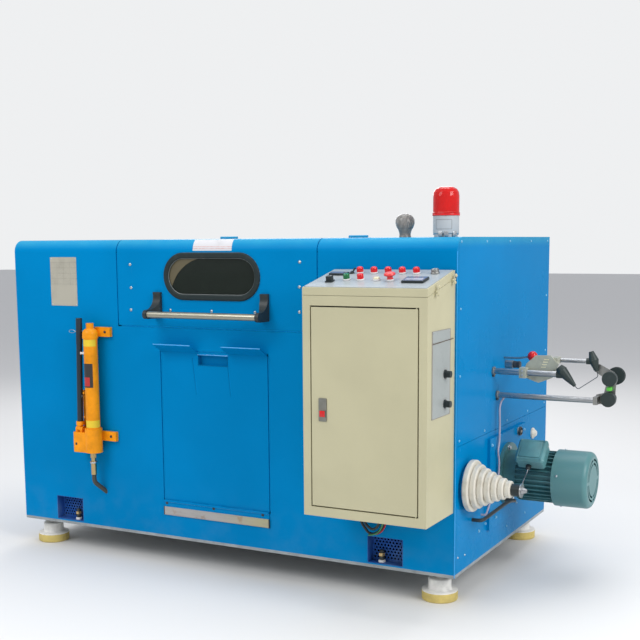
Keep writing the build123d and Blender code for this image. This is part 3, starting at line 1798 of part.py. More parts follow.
cabinet_cable_route = [
    (-371, -30, cabinet_bottom_height),
    (-371, -30, 184),
    (-329, -30, 136),
    (-290, -30, 150),
    (-267, -30, 196),
    (-267, -30, cabinet_bottom_height),
]
with BuildPart() as cabinet_cable:
    with BuildLine():
        tube_path(cable_points(cabinet_cable_route))
    with BuildSketch(Plane.XY.offset(cabinet_bottom)):
        with Locations((right_end + cabinet_cable_route[0][0], front + cabinet_cable_route[0][1])):
            Circle(cabinet_cable_radius)
    sweep()
save(cabinet_cable, "cabinet_cable")
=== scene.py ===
"""Looks of the wire bunching machine: paint, screws, panel devices, beacon, motor and feet."""

import math

import bmesh
import bpy
from mathutils import Matrix, Vector


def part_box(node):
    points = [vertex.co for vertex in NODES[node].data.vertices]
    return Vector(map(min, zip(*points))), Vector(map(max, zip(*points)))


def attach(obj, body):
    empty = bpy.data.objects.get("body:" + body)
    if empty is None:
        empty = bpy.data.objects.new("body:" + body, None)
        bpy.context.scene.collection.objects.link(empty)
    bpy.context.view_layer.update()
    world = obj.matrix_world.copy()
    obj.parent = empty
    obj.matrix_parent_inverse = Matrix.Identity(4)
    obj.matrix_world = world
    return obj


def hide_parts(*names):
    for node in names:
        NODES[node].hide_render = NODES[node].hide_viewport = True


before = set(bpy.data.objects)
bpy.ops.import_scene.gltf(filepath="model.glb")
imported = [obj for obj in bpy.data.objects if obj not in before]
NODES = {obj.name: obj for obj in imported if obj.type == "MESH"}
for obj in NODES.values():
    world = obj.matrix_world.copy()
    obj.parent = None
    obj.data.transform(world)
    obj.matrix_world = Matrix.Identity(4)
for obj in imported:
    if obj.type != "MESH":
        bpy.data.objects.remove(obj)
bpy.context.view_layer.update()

bl_info = {
    "name": "Wire bunching machine",
    "version": (1, 0, 0),
    "blender": (4, 5, 0),
    "location": "View3D > Sidebar > Machine",
    "description": "Dresses the packed wire bunching machine with paint, screws and fittings",
    "category": "Object",
}

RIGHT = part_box("right_upper_panel")[1].x
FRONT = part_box("front_walls")[0].y
FLOOR_OF_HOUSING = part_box("base_plate")[0].z
# The bend between the front and the top, in millimetres
BEND_RADIUS = 50
BEND_HEIGHT = 1200
# The motor's axis, in millimetres behind the front and over the base
MOTOR_Y = 560
MOTOR_Z = 295
# Heights above the floor between which the painted pale reflection on top of the housing fades in, in metres
TOP_REFLECTION_HEIGHTS = (1.318, 1.356)
FOOT_RADIUS = 0.068


def spot(x, y, z):
    """Place in metres, from millimetres right of the end face, behind the front, over the base."""
    return Vector((RIGHT + x / 1000, FRONT + y / 1000, FLOOR_OF_HOUSING + z / 1000))


def right_of(node):
    """Right face of a CAD node, in millimetres right of the end face."""
    return (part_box(node)[1].x - RIGHT) * 1000


def front_of(node):
    """Front face of a CAD node, in millimetres behind the front."""
    return (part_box(node)[0].y - FRONT) * 1000


def tilted(origin, along, up):
    """Matrix of a sloping plate: its X runs along, its Y up, its Z out of the face."""
    along = Vector(along).normalized()
    up = Vector(up).normalized()
    out = along.cross(up)
    rows = [(along[i], up[i], out[i], origin[i]) for i in range(3)]
    return Matrix((*rows, (0, 0, 0, 1)))


PANEL_SLOPE = math.atan2(0.2193, 0.97566)
PANEL_OUT = Vector((0, -math.sin(PANEL_SLOPE), math.cos(PANEL_SLOPE)))
PANEL = tilted(
    spot(-487, -258, 1076) + PANEL_OUT * 0.002,
    (1, 0, 0),
    (0, math.cos(PANEL_SLOPE), math.sin(PANEL_SLOPE)),
)
TERMINAL = tilted(spot(151, MOTOR_Y, MOTOR_Z), (1, 0, 0), (0, 1, 1))


def on_panel(x, up):
    """Place in metres on the operator panel, from millimetres along it and up it."""
    return PANEL @ Vector((x / 1000, up / 1000, 0))


def panel_axes(x, up):
    """The operator panel's axes, moved to a place on it."""
    return Matrix.Translation(on_panel(x, up)) @ PANEL.to_3x3().to_4x4()


def on_terminal(x, up, out):
    """Place in metres on the motor's terminal box, from millimetres on its own axes."""
    return TERMINAL @ Vector((x / 1000, up / 1000, out / 1000))


def round_motor(degrees, radius, x):
    """Place at an angle round the motor's axis, and the way out from the axis."""
    angle = math.radians(degrees)
    way = (0, math.cos(angle), math.sin(angle))
    return spot(x, MOTOR_Y + radius * way[1], MOTOR_Z + radius * way[2]), way


# Shader sums


class Wire:
    """A shader socket that Python sums, products and differences can be written on."""

    def __init__(self, finish, socket):
        self.finish = finish
        self.socket = socket

    def _sum(self, operation, first, second, clamp=False):
        node = self.finish.node(
            "ShaderNodeMath", {"operation": operation, "use_clamp": clamp}, {0: first, 1: second}
        )
        return Wire(self.finish, node.outputs[0])

    def __add__(self, other):
        return self._sum("ADD", self, other)

    __radd__ = __add__

    def __mul__(self, other):
        return self._sum("MULTIPLY", self, other)

    __rmul__ = __mul__

    def __sub__(self, other):
        return self._sum("SUBTRACT", self, other)

    def __rsub__(self, other):
        return self._sum("SUBTRACT", other, self)

    def __truediv__(self, other):
        return self._sum("DIVIDE", self, other)

    def part(self):
        """What is left after the whole number."""
        return self._sum("FRACT", self, 0.0)

    def under(self, limit):
        """1 where the value is under a limit, 0 elsewhere."""
        return self._sum("LESS_THAN", self, limit)

    def clamped(self):
        return self._sum("ADD", self, 0.0, clamp=True)

    def larger(self, other):
        return self._sum("MAXIMUM", self, other)

    def between(self, low, high, to_low=0.0, to_high=1.0):
        """Smooth ramp from to_low at low to to_high at high."""
        node = self.finish.node(
            "ShaderNodeMapRange",
            {"interpolation_type": "SMOOTHSTEP"},
            {"Value": self, "From Min": low, "From Max": high, "To Min": to_low, "To Max": to_high},
        )
        return Wire(self.finish, node.outputs[0])


class Finish:
    """One material and the nodes that make it."""

    def __init__(self, name):
        self.material = bpy.data.materials.new(name)
        self.material.use_nodes = True
        self.tree = self.material.node_tree
        self.tree.nodes.clear()
        self.shader = self.tree.nodes.new("ShaderNodeBsdfPrincipled")
        output = self.tree.nodes.new("ShaderNodeOutputMaterial")
        self.tree.links.new(self.shader.outputs[0], output.inputs[0])
        where = self.tree.nodes.new("ShaderNodeTexCoord")
        self.place = Wire(self, where.outputs["Object"])

    def node(self, kind, settings=None, values=None):
        """Add a node, set its settings, then the values or links of its sockets."""
        node = self.tree.nodes.new(kind)
        for key, value in (settings or {}).items():
            setattr(node, key, value)
        for key, value in (values or {}).items():
            self.feed(node.inputs[key], value)
        return node

    def feed(self, socket, value):
        if isinstance(value, Wire):
            self.tree.links.new(value.socket, socket)
        elif isinstance(value, (tuple, list)) and len(value) == 3 and socket.type == "RGBA":
            socket.default_value = (*value, 1.0)
        else:
            socket.default_value = value

    def set(self, **values):
        for key, value in values.items():
            self.feed(self.shader.inputs[key.replace("_", " ")], value)

    def noise(self, scale, detail=4.0, roughness=0.55, stretch=(1, 1, 1)):
        """Noise on Object coordinates, scale in cycles per metre."""
        place = self.node("ShaderNodeMapping", {}, {"Vector": self.place, "Scale": stretch})
        node = self.node(
            "ShaderNodeTexNoise",
            {},
            {
                "Vector": Wire(self, place.outputs[0]),
                "Scale": scale,
                "Detail": detail,
                "Roughness": roughness,
            },
        )
        return Wire(self, node.outputs[0])

    def axis(self, letter):
        node = self.node("ShaderNodeSeparateXYZ", {}, {0: self.place})
        return Wire(self, node.outputs["XYZ".index(letter)])

    def mix(self, first, second, factor):
        node = self.node("ShaderNodeMix", {"data_type": "RGBA"}, {0: factor, 6: first, 7: second})
        return Wire(self, node.outputs[2])

    def bump(self, height, strength, distance=0.001):
        node = self.node(
            "ShaderNodeBump", {}, {"Strength": strength, "Distance": distance, "Height": height}
        )
        self.set(Normal=Wire(self, node.outputs[0]))


def tone(colour, amount):
    """A colour made lighter (over 1) or darker (under 1)."""
    return tuple(min(1.0, part * amount) for part in colour)


def faded(colour, lift):
    """A colour made duller and paler."""
    return tuple(part * 0.8 + lift for part in colour)


def gloss_paint(name, colour, rough=0.24, dust=0.06, dust_top=0.4, sheen=0.02, haze=0.0):
    """Enamel over sheet steel: slow shade drift, orange peel, a little dust low down, fine scuffs, and a
    painted pale reflection near the top whose strength is haze.
    """
    finish = Finish(name)
    drift = finish.noise(1.7, 3.0)
    cloud = finish.noise(13.0, 5.0)
    body = finish.mix(tone(colour, 0.95), tone(colour, 1.05), drift.between(0.35, 0.65))
    low = finish.axis("Z").between(dust_top, 0.1)
    dirt = (low * cloud.between(0.38, 0.72) * dust).clamped()
    body = finish.mix(body, (0.2, 0.3, 0.38), dirt)
    # Painted reflection: towards the top bend the enamel turns a paler cyan, standing in for the sky's
    # reflection there
    painted_top_reflection = finish.axis("Z").between(*TOP_REFLECTION_HEIGHTS) * cloud.between(0.2, 0.8, 0.6, 1.0) * haze
    body = finish.mix(body, (0.07, 0.4, 0.5), painted_top_reflection.clamped())
    scratch = finish.noise(46.0, 2.0, 0.5, (1.0, 1.0, 0.05)).between(0.71, 0.76)
    patch = finish.noise(5.0, 2.0).between(0.56, 0.68)
    body = finish.mix(body, faded(colour, 0.1), scratch * patch * 0.1)
    finish.set(Base_Color=body)
    rub = finish.noise(3.6, 4.0).between(0.45, 0.7, 0.0, 0.08)
    finish.set(Roughness=(rub + dirt * 0.4 + rough).clamped())
    finish.set(Specular_IOR_Level=sheen)
    finish.bump(finish.noise(420.0, 2.0) + drift * 6.0, 0.05, 0.0006)
    return finish.material


def powder_coat(name, colour, rough=0.42):
    """Powder coat: fine even grain and faint hand marks."""
    finish = Finish(name)
    drift = finish.noise(3.1, 3.0)
    hands = finish.noise(11.0, 5.0).between(0.52, 0.78)
    body = finish.mix(tone(colour, 0.97), tone(colour, 1.03), drift.between(0.35, 0.65))
    body = finish.mix(body, tone(colour, 0.86), hands * 0.16)
    finish.set(Base_Color=body)
    finish.set(Roughness=hands.between(0.0, 1.0, rough, rough + 0.1))
    finish.set(Specular_IOR_Level=0.3)
    finish.bump(finish.noise(900.0, 2.0), 0.12, 0.0004)
    return finish.material


def cast_paint(name, colour, grime=0.45, shine=0.42, sheen=0.5):
    """Paint over a rough casting, with grime in random patches."""
    finish = Finish(name)
    grain = finish.noise(190.0, 4.0)
    patch = finish.noise(17.0, 5.0)
    body = finish.mix(tone(colour, 0.84), tone(colour, 1.12), patch.between(0.3, 0.7))
    dirt = finish.noise(31.0, 6.0).between(0.52, 0.74) * grime
    body = finish.mix(body, tone(colour, 0.35), dirt)
    finish.set(Base_Color=body)
    finish.set(Roughness=(dirt * 0.3 + shine).clamped())
    finish.set(Specular_IOR_Level=sheen)
    finish.bump(grain, 0.25, 0.0008)
    return finish.material


def worked_metal(name, colour, rough=0.3, stretch=(1, 1, 1), stain=0.3, relief=0.06):
    """Bare metal with a grain that runs one way, and light stains."""
    finish = Finish(name)
    grain = finish.noise(260.0, 3.0, 0.6, stretch)
    patch = finish.noise(21.0, 5.0).between(0.48, 0.72) * stain
    body = finish.mix(tone(colour, 0.86), tone(colour, 1.1), grain)
    body = finish.mix(body, tone(colour, 0.45), patch)
    finish.set(Base_Color=body, Metallic=1.0)
    finish.set(Roughness=(grain.between(0.3, 0.7, rough - 0.06, rough + 0.1) + patch * 0.4).clamped())
    finish.bump(grain, relief, 0.0004)
    return finish.material


def bare_strip(name, colour, far_colour, low, high):
    """Dull bare steel strip whose colour warms towards its right end."""
    finish = Finish(name)
    across = ((finish.axis("X") - low) / (high - low)).clamped()
    grain = finish.noise(60.0, 4.0, 0.6, (0.12, 1, 1))
    body = finish.mix(colour, far_colour, across.between(0.45, 1.0))
    body = finish.mix(body, tone(colour, 0.72), grain.between(0.45, 0.8) * 0.6)
    rust = finish.noise(26.0, 5.0).between(0.54, 0.7)
    body = finish.mix(body, (0.3, 0.17, 0.08), rust * 0.5)
    finish.set(Base_Color=body, Metallic=0.35)
    finish.set(Roughness=grain.between(0.3, 0.7, 0.38, 0.55))
    finish.bump(grain, 0.08, 0.0005)
    return finish.material


def moulded(name, colour, rough=0.45, grain=0.12, sheen=0.5):
    """Moulded plastic or rubber with a fine grain and a little dust."""
    finish = Finish(name)
    dust = finish.noise(40.0, 5.0).between(0.52, 0.78)
    body = finish.mix(tone(colour, 0.9), tone(colour, 1.1), finish.noise(9.0, 3.0))
    body = finish.mix(body, faded(colour, 0.04), dust * 0.35)
    finish.set(Base_Color=body)
    finish.set(Roughness=dust.between(0.0, 1.0, rough, rough + 0.15))
    finish.set(Specular_IOR_Level=sheen)
    finish.bump(finish.noise(650.0, 2.0), grain, 0.0004)
    return finish.material


def turned_nylon(name, colour, shade, axis_place):
    """Cast nylon of the cone pulley: fine turning lines round its axis, brownish grime in random patches."""
    finish = Finish(name)
    along = (finish.axis("X") - axis_place) * 1000.0
    rings = (along * 0.55).part().between(0.0, 1.0)
    grime = finish.noise(24.0, 5.0).between(0.46, 0.74)
    body = finish.mix(colour, shade, grime * 0.55)
    body = finish.mix(body, tone(colour, 0.9), rings * 0.25)
    finish.set(Base_Color=body, Roughness=0.38)
    finish.bump(rings, 0.12, 0.0004)
    return finish.material


def lens_plastic(name, colour, rough=0.14):
    """Coloured lens: bright plastic with a clear glossy face."""
    finish = Finish(name)
    haze = finish.noise(55.0, 3.0).between(0.4, 0.7)
    finish.set(Base_Color=finish.mix(colour, tone(colour, 0.8), haze))
    finish.set(Roughness=haze.between(0.0, 1.0, rough, rough + 0.08))
    return finish.material


def beacon_lens(name, colour, dark, base):
    """Red lens of the beacon: darker towards its foot, with a faint random haze."""
    finish = Finish(name)
    height = (finish.axis("Z") - base) * 1000.0
    foot = height.between(14.0, 2.0)
    haze = finish.noise(18.0, 3.0).between(0.35, 0.7)
    body = finish.mix(colour, dark, haze * 0.22)
    body = finish.mix(body, dark, foot * 0.6)
    finish.set(Base_Color=body)
    finish.set(Roughness=haze.between(0.0, 1.0, 0.1, 0.18))
    finish.set(Transmission_Weight=0.3, IOR=1.4)
    return finish.material


def clear_plastic(name, colour, rough=0.08, through=0.7, bend=1.45):
    """Tinted clear plastic or glass."""
    finish = Finish(name)
    haze = finish.noise(30.0, 4.0).between(0.45, 0.75)
    finish.set(Base_Color=finish.mix(colour, tone(colour, 0.85), haze))
    finish.set(Roughness=haze.between(0.0, 1.0, rough, rough + 0.08))
    finish.set(Transmission_Weight=through, IOR=bend)
    return finish.material


def lined_label(name, colour, ink, heights):
    """White label with faint plain rules at some heights in millimetres above the housing's foot."""
    finish = Finish(name)
    height = (finish.axis("Z") - spot(0, 0, 0).z) * 1000.0
    rules = None
    for level in heights:
        rule = (height - level).under(1.6) * (level - height).under(1.6)
        rules = rule if rules is None else rules + rule
    worn = finish.noise(160.0, 3.0).between(0.3, 0.7, 0.25, 0.9)
    stain = finish.noise(20.0, 4.0).between(0.45, 0.75)
    body = finish.mix(colour, tone(colour, 0.9), stain)
    finish.set(Base_Color=finish.mix(body, ink, (rules * worn).clamped()))
    finish.set(Roughness=stain.between(0.0, 1.0, 0.36, 0.46))
    finish.set(Specular_IOR_Level=0.2)
    return finish.material


def ruled_plate(name, colour, ink, low, high, columns, rows):
    """Pale plate with a plain ruled table: lines only, no words."""
    finish = Finish(name)
    across = (finish.axis("X") - low.x) / (high.x - low.x)
    up = (finish.axis("Z") - low.z) / (high.z - low.z)
    table = (across * columns).part().under(0.05).larger((up * rows).part().under(0.08))
    print_area = up.between(0.4, 0.44) * up.between(0.92, 0.89)
    marks = finish.noise(330.0, 2.0, 0.5, (1.0, 1.0, 1.8)).between(0.52, 0.58)
    fade = finish.noise(30.0, 3.0).between(0.3, 0.7, 0.2, 0.5)
    table = (table + marks * 0.7).clamped() * print_area.clamped()
    stain = finish.noise(12.0, 5.0).between(0.45, 0.75)
    body = finish.mix(colour, tone(colour, 0.84), stain)
    finish.set(Base_Color=finish.mix(body, ink, table * fade))
    finish.set(Roughness=stain.between(0.0, 1.0, 0.4, 0.5))
    return finish.material


# Mesh makers


def placed(name, mesh, body):
    """Object of a mesh in the scene, riding on a body."""
    made = bpy.data.objects.new(name, mesh)
    bpy.context.scene.collection.objects.link(made)
    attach(made, body)
    return made


def worked_out(holder):
    """Mesh of a curve or of an object with modifiers, which is removed."""
    bpy.context.scene.collection.objects.link(holder)
    bpy.context.view_layer.update()
    mesh = bpy.data.meshes.new_from_object(holder.evaluated_get(bpy.context.evaluated_depsgraph_get()))
    bpy.data.objects.remove(holder)
    return mesh


def piece(name, mesh_data, material, body, sharp=35.0):
    """Object from a bmesh, shaded smooth up to an angle, riding on a body."""
    mesh = bpy.data.meshes.new(name)
    bmesh.ops.remove_doubles(mesh_data, verts=mesh_data.verts, dist=1e-6)
    bmesh.ops.recalc_face_normals(mesh_data, faces=mesh_data.faces)
    mesh_data.to_mesh(mesh)
    mesh_data.free()
    mesh.shade_smooth()
    mesh.set_sharp_from_angle(angle=math.radians(sharp))
    mesh.materials.append(material)
    return placed(name, mesh, body)


def way_to(direction):
    """Turn that lays local Z along a direction."""
    return Vector(direction).to_track_quat("Z", "Y").to_matrix().to_4x4()


def lathe(data, profile, origin, direction, segments=32, rounding=0.0):
    """Add a turned form: (radius, distance) points in millimetres about a line through origin."""
    if rounding > 0:
        profile = rounded_profile(profile, rounding)
    turn = Matrix.Translation(Vector(origin)) @ way_to(direction)
    rings = []
    for radius, along in profile:
        if radius < 1e-4:
            rings.append([data.verts.new(turn @ Vector((0, 0, along / 1000)))])
            continue
        ring = []
        for step in range(segments):
            angle = 2 * math.pi * step / segments
            place = Vector((radius * math.cos(angle), radius * math.sin(angle), along)) / 1000
            ring.append(data.verts.new(turn @ place))
        rings.append(ring)
    pairs = list(zip(rings, rings[1:]))
    if len(rings[0]) > 1 and len(rings[-1]) > 1:
        pairs.append((rings[-1], rings[0]))
    elif len(rings[0]) > 1:
        data.faces.new(rings[0])
    elif len(rings[-1]) > 1:
        data.faces.new(rings[-1])
    for first, second in pairs:
        for step in range(segments):
            after = (step + 1) % segments
            if len(first) == 1 and len(second) == 1:
                continue
            if len(first) == 1:
                data.faces.new((first[0], second[after], second[step]))
            elif len(second) == 1:
                data.faces.new((first[step], first[after], second[0]))
            else:
                data.faces.new((first[step], first[after], second[after], second[step]))


def rounded_profile(points, radius, steps=3):
    """Round the corners of a (radius, distance) profile."""
    rounded = [points[0]]
    for before, corner, after in zip(points, points[1:], points[2:]):
        a = Vector(before) - Vector(corner)
        b = Vector(after) - Vector(corner)
        reach = min(radius, a.length * 0.45, b.length * 0.45)
        start = Vector(corner) + a.normalized() * reach
        end = Vector(corner) + b.normalized() * reach
        for step in range(steps + 1):
            t = step / steps
            bend = (1 - t) ** 2 * start + 2 * t * (1 - t) * Vector(corner) + t**2 * end
            rounded.append((bend.x, bend.y))
    rounded.append(points[-1])
    return rounded


def join(data, part):
    """Copy one bmesh into another and free it."""
    copied = {vert: data.verts.new(vert.co) for vert in part.verts}
    for face in part.faces:
        data.faces.new([copied[vert] for vert in face.verts])
    part.free()


def brick(data, low, high, rounding=1.0, turn=None):
    """Add a box with rounded edges, in millimetres on the turn's own axes."""
    part = bmesh.new()
    bmesh.ops.create_cube(part, size=1.0)
    size = (Vector(high) - Vector(low)) / 1000
    bmesh.ops.scale(part, vec=size, verts=part.verts)
    bmesh.ops.translate(part, vec=(Vector(low) + Vector(high)) / 2000, verts=part.verts)
    if rounding > 0:
        bmesh.ops.bevel(
            part,
            geom=list(part.edges),
            offset=rounding / 1000,
            segments=2,
            profile=0.6,
            affect="EDGES",
        )
    if turn is None:
        turn = Matrix.Translation(spot(0, 0, 0))
    bmesh.ops.transform(part, matrix=turn, verts=part.verts)
    join(data, part)


def slab(data, outline, turn, thickness, rounding=0.0):
    """Add a flat outline in millimetres, in the turn's XY plane, thickened along its Z."""
    part = bmesh.new()
    face = part.faces.new([part.verts.new((x / 1000, y / 1000, 0)) for x, y in outline])
    grown = bmesh.ops.extrude_face_region(part, geom=[face])
    moved = [item for item in grown["geom"] if isinstance(item, bmesh.types.BMVert)]
    bmesh.ops.translate(part, vec=(0, 0, thickness / 1000), verts=moved)
    if rounding > 0:
        rim = [edge for edge in part.edges if all(vert in moved for vert in edge.verts)]
        bmesh.ops.bevel(
            part, geom=rim, offset=rounding / 1000, segments=2, profile=0.6, affect="EDGES"
        )
    bmesh.ops.transform(part, matrix=turn, verts=part.verts)
    join(data, part)


def bead(data, path, radius, facing, closed=False, sides=8):
    """Add a round bead along places, whose path lies in a plane that faces a given way."""
    facing = Vector(facing).normalized()
    count = len(path)
    rings = []
    for index, point in enumerate(path):
        before = path[index - 1] if closed or index > 0 else point
        after = path[(index + 1) % count] if closed or index < count - 1 else point
        across = (Vector(after) - Vector(before)).normalized().cross(facing).normalized()
        ring = []
        for step in range(sides):
            angle = 2 * math.pi * step / sides
            way = across * math.cos(angle) + facing * math.sin(angle)
            ring.append(data.verts.new(Vector(point) + way * (radius / 1000)))
        rings.append(ring)
    pairs = list(zip(rings, rings[1:]))
    if closed:
        pairs.append((rings[-1], rings[0]))
    for first, second in pairs:
        for step in range(sides):
            after = (step + 1) % sides
            data.faces.new((first[step], first[after], second[after], second[step]))
    if not closed:
        data.faces.new(rings[0])
        data.faces.new(list(reversed(rings[-1])))


def wrap(data, centre, radius, first, last, low, high, thickness=0.5, steps=12):
    """Add a thin skin round an upright tube, between two angles from the front, in millimetres."""
    outer = radius + thickness
    corners = ((radius, low), (outer, low), (outer, high), (radius, high))
    columns = []
    for step in range(steps + 1):
        angle = math.radians(first + (last - first) * step / steps)
        column = []
        for reach, z in corners:
            x = centre[0] + reach * math.sin(angle)
            y = centre[1] - reach * math.cos(angle)
            column.append(data.verts.new(spot(x, y, z)))
        columns.append(column)
    for one, two in zip(columns, columns[1:]):
        for corner in range(4):
            after = (corner + 1) % 4
            data.faces.new((one[corner], two[corner], two[after], one[after]))
    data.faces.new(columns[0])
    data.faces.new(list(reversed(columns[-1])))


def tube_of(data, rings):
    """Join four-cornered outlines into one closed strip."""
    for first, second in zip(rings, rings[1:]):
        for side in range(4):
            after = (side + 1) % 4
            data.faces.new((first[side], first[after], second[after], second[side]))
    data.faces.new(rings[0])
    data.faces.new(reversed(rings[-1]))


def bent_strip(data, left, right, outer, inner, back):
    """Add a strip inside the housing that follows the bend of its front edge and runs back on top."""
    rings = []
    for step in range(10):
        angle = math.radians(min(step, 8) * 90 / 8)
        ring = []
        for x, reach in ((left, outer), (right, outer), (right, inner), (left, inner)):
            y = back if step == 9 else BEND_RADIUS - reach * math.cos(angle)
            ring.append(data.verts.new(spot(x, y, BEND_HEIGHT + reach * math.sin(angle))))
        rings.append(ring)
    tube_of(data, rings)


def oval(centre_x, centre_z, length, height, y, steps=14):
    """Places round a lying oval on the housing's front, from its right end anticlockwise."""
    radius = height / 2
    run = length / 2 - radius
    places = []
    for side, start in ((1, -90), (-1, 90)):
        for step in range(steps + 1):
            angle = math.radians(start + 180 * step / steps)
            x = centre_x + side * run + radius * math.cos(angle)
            places.append(spot(x, y, centre_z + radius * math.sin(angle)))
    return places


def pipe(name, points, radius, material, body, order=4):
    """Round wire or pipe along smooth control points, as a mesh."""
    curve = bpy.data.curves.new(name, "CURVE")
    curve.dimensions = "3D"
    curve.bevel_depth = radius / 1000
    curve.bevel_resolution = 3
    curve.use_fill_caps = True
    spline = curve.splines.new("NURBS")
    spline.points.add(len(points) - 1)
    for target, point in zip(spline.points, points):
        target.co = (*point, 1.0)
    spline.order_u = order
    spline.use_endpoint_u = True
    spline.resolution_u = 8
    mesh = worked_out(bpy.data.objects.new(name + "_line", curve))
    mesh.materials.clear()
    mesh.materials.append(material)
    mesh.shade_smooth()
    return placed(name, mesh, body)


# Fastener heads of unit radius and height: turned profiles with their number of sides
HEADS = {
    "pan": [(16, ((0, 0.5), (0.26, 0.55), (0.34, 0.98), (0.6, 0.92), (0.88, 0.6), (1, 0.2), (1, 0), (0, 0)))],
    "hex": [
        (20, ((0, 0.2), (0.94, 0.2), (1, 0.12), (1, 0), (0, 0))),
        (6, ((0, 1), (0.7, 1), (0.84, 0.88), (0.84, 0.2), (0, 0.2))),
    ],
    "socket": [
        (20, ((0, 0.4), (0.46, 0.4), (0.48, 0.99), (0.9, 1), (1, 0.86), (1, 0), (0, 0))),
    ],
    "rivet": [(12, ((0, 1), (0.5, 0.86), (0.86, 0.5), (1, 0), (0, 0)))],
    "tick": [(4, ((0, 1), (1, 1), (1, 0), (0, 0)))],
}


def scatter_tree(name):
    """Geometry Nodes: set a head on every point, along the point's facing, turned at random."""
    tree = bpy.data.node_groups.new(name, "GeometryNodeTree")
    sockets = {
        "points": ("Geometry", "NodeSocketGeometry"),
        "head": ("Head", "NodeSocketObject"),
        "size": ("Head size", "NodeSocketVector"),
        "turn": ("Most turn", "NodeSocketFloat"),
        "seed": ("Seed", "NodeSocketInt"),
        "metal": ("Material", "NodeSocketMaterial"),
    }
    keys = {}
    for key, (label, kind) in sockets.items():
        keys[key] = tree.interface.new_socket(label, in_out="INPUT", socket_type=kind).identifier
    tree.interface.new_socket("Geometry", in_out="OUTPUT", socket_type="NodeSocketGeometry")
    begin = tree.nodes.new("NodeGroupInput")
    end = tree.nodes.new("NodeGroupOutput")
    head = tree.nodes.new("GeometryNodeObjectInfo")
    facing = tree.nodes.new("GeometryNodeInputNamedAttribute")
    facing.data_type = "FLOAT_VECTOR"
    facing.inputs["Name"].default_value = "facing"
    align = tree.nodes.new("FunctionNodeAlignRotationToVector")
    align.axis = "Z"
    chance = tree.nodes.new("FunctionNodeRandomValue")
    chance.data_type = "FLOAT"
    spin = tree.nodes.new("FunctionNodeAxisAngleToRotation")
    spin.inputs["Axis"].default_value = (0, 0, 1)
    both = tree.nodes.new("FunctionNodeRotateRotation")
    both.rotation_space = "LOCAL"
    place = tree.nodes.new("GeometryNodeInstanceOnPoints")
    solid = tree.nodes.new("GeometryNodeRealizeInstances")
    coat = tree.nodes.new("GeometryNodeSetMaterial")
    link = tree.links.new
    link(begin.outputs["Head"], head.inputs["Object"])
    link(begin.outputs["Geometry"], place.inputs["Points"])
    link(head.outputs["Geometry"], place.inputs["Instance"])
    link(begin.outputs["Head size"], place.inputs["Scale"])
    link(facing.outputs[0], align.inputs["Vector"])
    floats = [socket for socket in chance.inputs if socket.type == "VALUE"]
    floats[0].default_value = 0.0
    link(begin.outputs["Most turn"], floats[1])
    link(begin.outputs["Seed"], chance.inputs["Seed"])
    angle = [socket for socket in chance.outputs if socket.type == "VALUE"][0]
    link(angle, spin.inputs["Angle"])
    link(align.outputs[0], both.inputs[0])
    link(spin.outputs[0], both.inputs[1])
    link(both.outputs[0], place.inputs["Rotation"])
    link(place.outputs[0], solid.inputs[0])
    link(solid.outputs[0], coat.inputs["Geometry"])
    link(begin.outputs["Material"], coat.inputs["Material"])
    link(coat.outputs[0], end.inputs[0])
    return tree, keys


def heads(name, kind, places, radius, height, material, body, turn=2 * math.pi):
    """Fastener heads at (place, facing) pairs, made by Geometry Nodes and turned to one mesh."""
    tree, keys = scatter_tree(name + "_nodes")
    shape = bmesh.new()
    for sides, profile in HEADS[kind]:
        lathe(shape, [(r * 1000, h * 1000) for r, h in profile], (0, 0, 0), (0, 0, 1), sides)
    bmesh.ops.remove_doubles(shape, verts=shape.verts, dist=1e-5)
    bmesh.ops.recalc_face_normals(shape, faces=shape.faces)
    shape_mesh = bpy.data.meshes.new(name + "_head")
    shape.to_mesh(shape_mesh)
    shape.free()
    pattern = bpy.data.objects.new(name + "_head", shape_mesh)
    bpy.context.scene.collection.objects.link(pattern)
    points = bpy.data.meshes.new(name + "_points")
    points.from_pydata([tuple(place) for place, _ in places], [], [])
    attribute = points.attributes.new("facing", "FLOAT_VECTOR", "POINT")
    attribute.data.foreach_set(
        "vector", [part for _, facing in places for part in Vector(facing).normalized()]
    )
    holder = bpy.data.objects.new(name + "_holder", points)
    modifier = holder.modifiers.new("Heads", "NODES")
    modifier.node_group = tree
    modifier[keys["head"]] = pattern
    modifier[keys["size"]] = (radius / 1000, radius / 1000, height / 1000)
    modifier[keys["turn"]] = float(turn)
    modifier[keys["seed"]] = len(places)
    modifier[keys["metal"]] = material
    made_mesh = worked_out(holder)
    bpy.data.objects.remove(pattern)
    if not made_mesh.polygons:
        raise RuntimeError(f"{name} came out empty")
    made_mesh.shade_smooth()
    made_mesh.set_sharp_from_angle(angle=math.radians(30))
    made_mesh.name = name
    return placed(name, made_mesh, body)


def coat(node, material):
    """Give a CAD node its finish."""
    mesh = NODES[node].data
    mesh.materials.clear()
    mesh.materials.append(material)


TO_FRONT = (0, -1, 0)
TO_RIGHT = (1, 0, 0)
TO_TOP = (0, 0, 1)
TO_BACK = (0, 1, 0)
TO_LEFT = (-1, 0, 0)


# Sizes and colours that a user would change


def colour_setting(name, description, default):
    return bpy.props.FloatVectorProperty(
        name=name, description=description, subtype="COLOR", default=default, min=0, max=1
    )


def length_setting(name, description, default, least, most):
    return bpy.props.FloatProperty(
        name=name, description=description, default=default, unit="LENGTH", min=least, max=most
    )


class MachineColours(bpy.types.PropertyGroup):
    housing: colour_setting("Housing", "Enamel of the housing", (0.0, 0.205, 0.485))
    cabinet: colour_setting("Cabinet", "Coat of the control cabinet", (0.49, 0.46, 0.3))
    pump: colour_setting("Pump", "Paint of the hand pump", (0.84, 0.3, 0.006))
    motor: colour_setting("Motor", "Paint of the flange motor", (0.05, 0.17, 0.185))
    cone: colour_setting("Cone pulley", "Nylon of the stepped cone pulley", (0.66, 0.63, 0.55))


